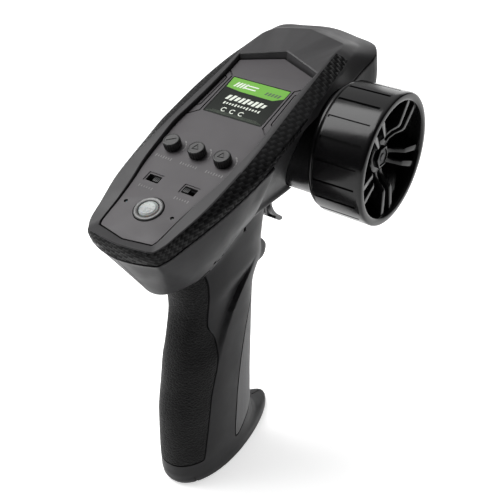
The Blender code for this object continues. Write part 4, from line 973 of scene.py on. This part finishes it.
def make_knob(index):
    """Fluted trim knob with a pointer cut in its top: a bar on the first, a triangle on the others."""
    name = "knob_%d" % (index + 2)
    u, v, height = index * KNOB_PITCH, KNOB_V, 4.1
    flutes, per = 22, 6
    profile = [(1.5, -5.4), (1.5, 0.35), (3.5, 0.35), (3.78, 0.6), (3.8, 1.0), (3.8, height - 0.6),
               (3.62, height - 0.2), (3.35, height - 0.02), (3.05, height), (2.9, height - 0.12),
               (2.7, height - 0.14), (0.9, height - 0.12)]
    count = flutes * per
    points = []
    for c in range(count):
        a = 2 * math.pi * c / count
        wave = 0.5 - 0.5 * math.cos(2 * math.pi * c / per)
        for r, h in profile:
            depth = 0.24 * wave ** 2 if r > 3.7 else (0.12 * wave ** 2 if r > 3.4 and h > 1 else 0.0)
            points.append((u + (r - depth) * math.cos(a), v + (r - depth) * math.sin(a), h))
    rows = len(profile)
    faces = grid_faces(count, rows)
    faces.append(tuple(c * rows for c in range(count)))
    faces.append(tuple(c * rows + rows - 1 for c in range(count)))
    knob = mesh_object(name, points, faces, HEAD)
    if index == -1:
        marks = [ribbon([(u - 1.9, v - 1.2), (u + 1.7, v + 1.5)], 0.5)]
    else:
        tips = arc((u, v), 1.75, 100, 460, 4)
        marks = [ribbon(tips[i:i + 2], 0.42) for i in range(3)]
    carve(knob, [prism("mark", mark, height - 0.4, height + 1.0, HEAD) for mark in marks])
    smooth(knob, 34.0)
    place(knob, name, "knob_plastic", "trim_" + name)
    knob.data.materials.append(KNOB_TOP)
    up = HEAD.to_3x3() @ Vector((0, 0, 1))
    for polygon in knob.data.polygons:
        middle = HEAD.inverted() @ polygon.center
        if polygon.normal.dot(up) > 0.9 and math.hypot(middle.x / MM - u, middle.y / MM - v) < 3.1 \
                and middle.z / MM > height - 0.2:
            polygon.material_index = 1


def make_sliders():
    for side, name in ((-1, "left"), (1, "right")):
        rest = side * 9.1 - side * 1.3
        outline = rounded_rectangle(2.8, 2.4, 0.25, (rest, SWITCH_V), 3)
        slider = prism("slider_" + name, outline, -4.3, -0.3, HEAD)
        soften(slider, 0.15, 2, 60.0)
        carve(slider, [box("rib", (rest + k * 0.75 - 0.12, SWITCH_V - 2.0, -0.55),
                           (rest + k * 0.75 + 0.12, SWITCH_V + 2.0, 0.5), HEAD) for k in (-1, 0, 1)])
        smooth(slider, 30.0)
        place(slider, "slider_" + name, "slider_plastic", "switch_slider_" + name)


# Steering --------------------------------------------------------------------------------
def hexagon(radius):
    angles = [math.pi / 3 * i + 0.5 for i in range(6)]
    return [(radius * math.cos(a), radius * math.sin(a)) for a in angles]


def make_wheel():
    profile = [(28.9, 58.95), (29.45, 58.8), (29.8, 58.45), (30.0, 57.9), (30.0, 56.6), (30.0, 36.4),
               (29.9, 35.6), (29.5, 35.15), (28.9, 35.0), (28.45, 34.75), (28.5, 34.45), (28.85, 34.15),
               (29.0, 33.7), (28.9, 33.0), (28.5, 32.45), (27.8, 32.2), (26.6, 32.2), (26.6, 47.0),
               (26.3, 53.0), (26.2, 57.6), (26.45, 58.5), (26.9, 58.85), (27.6, 59.0)]
    wheel = lathe("wheel_rim", profile, WHEEL_AXIS, 240)
    hub = lathe("hub", [(7.0, 51.6), (7.5, 51.4), (7.8, 50.8), (7.9, 49.0), (7.9, 33.4), (2.1, 33.4),
                        (2.1, 51.6)], WHEEL_AXIS, 96)
    spokes = [soften(spoke_blade(math.radians(54.0 + 72.0 * index), side), 0.2, 2, 50.0)
              for index in range(5) for side in (-1, 1)]
    spokes.append(soften(prism("collar", hexagon(5.2), 48.0, 53.3, WHEEL_AXIS), 0.2, 2, 40.0))
    boolean(wheel, [hub] + spokes, "UNION")
    cuts = []
    for index in range(20):
        turn = WHEEL_AXIS @ Matrix.Rotation(math.radians(5.1 + 18.0 * index) + math.pi / 2, 4, "Z")
        cuts.append(box("groove", (29.3, -0.65, 35.9), (32.0, 0.65, 55.5), turn))
    cuts.append(prism("recess", hexagon(4.25), 50.0, 60.0, WHEEL_AXIS))
    boolean(wheel, cuts)
    smooth(wheel, 30.0)
    place(wheel, "wheel", "gloss_wheel", "steering_wheel")


def spoke_blade(angle, side):
    """One of the two blades of a spoke: low at the hub, then level out to the rim."""
    c, s = math.cos(angle), math.sin(angle)
    rings = []
    for radial, across, low, high in (
            (6.4, 2.0, 45.0, 51.4), (9.0, 2.3, 45.6, 51.9), (11.5, 2.6, 46.2, 53.6),
            (14.0, 2.9, 46.7, 56.2), (15.2, 3.0, 46.9, 56.7), (27.0, 4.1, 49.5, 57.4)):
        ring = []
        half = 1.0 + 0.022 * (radial - 6.4)
        for a, x in ((-half, low), (half, low), (half, high), (-half, high)):
            w = across * side + a
            ring.append((x, WHEEL_Y + radial * c - w * s, WHEEL_Z + radial * s + w * c))
        rings.append(ring)
    return stack("spoke", rings)


def make_boss():
    boss = lathe("boss_sleeve", [(23.4, 31.6), (24.3, 31.45), (24.65, 31.0), (24.7, 30.3), (24.7, 14.5),
                                 (22.9, 14.5), (22.9, 29.2), (6.5, 29.2), (6.5, 18.0), (4.1, 18.0),
                                 (4.1, 31.6)], WHEEL_AXIS, 192)
    smooth(boss, 40.0)
    place(boss, "body", "gloss_boss", "steering_boss")


# Trigger ---------------------------------------------------------------------------------
def curve(points, per):
    """Smooth open line through points."""
    p = [Vector(q) for q in points]
    p = [2 * p[0] - p[1]] + p + [2 * p[-1] - p[-2]]
    result = []
    for i in range(1, len(p) - 2):
        for k in range(per):
            t = k / per
            q = 0.5 * ((2 * p[i]) + (p[i + 1] - p[i - 1]) * t
                       + (2 * p[i - 1] - 5 * p[i] + 4 * p[i + 1] - p[i + 2]) * t * t
                       + (3 * p[i] - p[i - 1] - 3 * p[i + 1] + p[i + 2]) * t ** 3)
            result.append((q.x, q.y))
    result.append((p[-2].x, p[-2].y))
    return result


def make_trigger():
    front = [(42.6, 138.0), (41.0, 130.0), (40.3, 124.0), (41.4, 119.6), (44.4, 115.4), (49.4, 111.2)]
    back = [(50.2, 109.5), (47.6, 109.7), (44.0, 112.1), (40.8, 114.5), (37.2, 117.4), (34.4, 121.0),
            (33.8, 128.0), (34.2, 138.0)]
    outline = curve(front, 6) + curve(back, 6)
    lever = prism("trigger_lever", outline, -4.5, 4.5, SIDEWAYS)
    soften(lever, 0.5, 3, 50.0)
    pocket = curve([(39.9, 132.0), (38.9, 124.0), (39.7, 119.6), (41.6, 116.0), (44.0, 113.6)], 5) + [
        (42.6, 111.0), (37.2, 114.6), (36.0, 120.6), (35.4, 126.0), (35.4, 132.0)]
    boolean(lever, [prism("pocket", pocket, low, low + 5.0, SIDEWAYS) for low in (1.0, -6.0)])
    pivot = (38.0, 141.5)
    boolean(lever, [cylinder("trigger_hub", 5.0, (-4.5, *pivot), (4.5, *pivot), 48)], "UNION")
    boolean(lever, [cylinder("bore", 1.6, (-9.0, *pivot), (9.0, *pivot), 32)])
    smooth(lever, 35.0)
    place(lever, "trigger", "trigger_plastic", "trigger")


# Stage -----------------------------------------------------------------------------------
def make_camera():
    data = bpy.data.cameras.new("view")
    data.lens, data.sensor_width = 62.86, 36.0
    data.clip_start, data.clip_end = 0.01, 20.0
    camera = bpy.data.objects.new("view", data)
    camera.location = (0.20265, -0.25804, 0.32863)
    camera.rotation_euler = (math.radians(57.02), 0.0, math.radians(35.25))
    bpy.context.scene.collection.objects.link(camera)
    bpy.context.scene.camera = camera


def area_light(name, location, target, size, power):
    data = bpy.data.lights.new(name, "AREA")
    data.shape, data.size, data.size_y = "RECTANGLE", size[0], size[1]
    data.energy = power
    light = bpy.data.objects.new(name, data)
    light.location = location
    light.rotation_euler = (Vector(target) - Vector(location)).to_track_quat("-Z", "Y").to_euler()
    bpy.context.scene.collection.objects.link(light)


def slope_light(tree, axis, low, high, start, end):
    """Strength of the sky that goes from low to high as its direction turns towards an axis."""
    slope = tree.nodes.new("ShaderNodeVectorMath")
    slope.operation = "DOT_PRODUCT"
    slope.inputs[1].default_value = Vector(axis).normalized()
    tree.links.new(tree.nodes.new("ShaderNodeTexCoord").outputs["Generated"], slope.inputs[0])
    ramp = tree.nodes.new("ShaderNodeMapRange")
    for socket, value in zip(("To Min", "To Max", "From Min", "From Max"), (low, high, start, end)):
        ramp.inputs[socket].default_value = value
    tree.links.new(slope.outputs["Value"], ramp.inputs["Value"])
    return ramp.outputs["Result"]


def make_stage():
    half = 3.0 / MM
    corners = [(x * half, y * half, 0.0) for x, y in ((-1, -1), (1, -1), (1, 1), (-1, 1))]
    floor = mesh_object("floor", corners, [(0, 1, 2, 3)])
    n = Nodes("floor_paper")
    clouds = n.ramp(n.noise(3.0, 2.0), 0.0, 1.0)
    n.set(Base_Color=n.mix_colours(clouds, (0.86, 0.86, 0.86), (0.88, 0.88, 0.88)), Roughness=0.9,
          Specular_IOR_Level=0.1, Emission_Color=(1.0, 1.0, 1.0, 1.0), Emission_Strength=0.64)
    floor.data.materials.append(n.material)
    world = bpy.data.worlds.new("studio")
    bpy.context.scene.world = world
    world.use_nodes = True
    tree = world.node_tree
    background = tree.nodes["Background"]
    overhead = slope_light(tree, (-0.42, 0.15, 0.88), 0.02, 0.82, 0.25, 0.95)
    shade = slope_light(tree, (0.60, -0.75, 0.25), 1.0, 0.1, 0.1, 0.8)
    strength = tree.nodes.new("ShaderNodeMath")
    strength.operation = "MULTIPLY"
    tree.links.new(shade, strength.inputs[0])
    tree.links.new(overhead, strength.inputs[1])
    shown = tree.nodes.new("ShaderNodeMix")       # the backdrop itself is white, whatever the light from it
    shown.inputs["B"].default_value = 1.0
    tree.links.new(tree.nodes.new("ShaderNodeLightPath").outputs["Is Camera Ray"], shown.inputs["Factor"])
    tree.links.new(strength.outputs["Value"], shown.inputs["A"])
    tree.links.new(shown.outputs["Result"], background.inputs["Strength"])
    background.inputs["Color"].default_value = (1.0, 1.0, 1.0, 1.0)
    area_light("key", (-0.40, -0.15, 0.85), (0.0, 0.0, 0.12), (0.6, 0.7), 7.8)
    area_light("left", (-0.85, -0.30, 0.22), (0.0, -0.02, 0.12), (0.5, 0.4), 1.7)
    area_light("front", (-0.05, 0.90, 0.30), (0.0, 0.02, 0.10), (0.6, 0.5), 1.6)
    scene = bpy.context.scene
    scene.view_settings.view_transform = "Standard"
    scene.view_settings.exposure = 0.0


# Build -----------------------------------------------------------------------------------
make_camera()
make_stage()
for row in frame["record"]["subparts"]:
    node = frame["nodes"][row["node"]]
    node.data.materials.clear()
    # painted shade: the wheel nut and shaft get dark metal in place of their own, for the shade in the hub
    # recess
    shaded_in_hub = row["node"] in ("wheel_nut", "wheel_shaft")
    node.data.materials.append(HUB_SHADE_METAL if shaded_in_hub else LOOKS[row["material_slot"]])
make_cover()
make_housing()
make_panel()
make_panel_print()
make_label()
make_power_button()
for number in (-1, 0, 1):
    make_knob(number)
make_sliders()
make_wheel()
make_boss()
make_trigger()
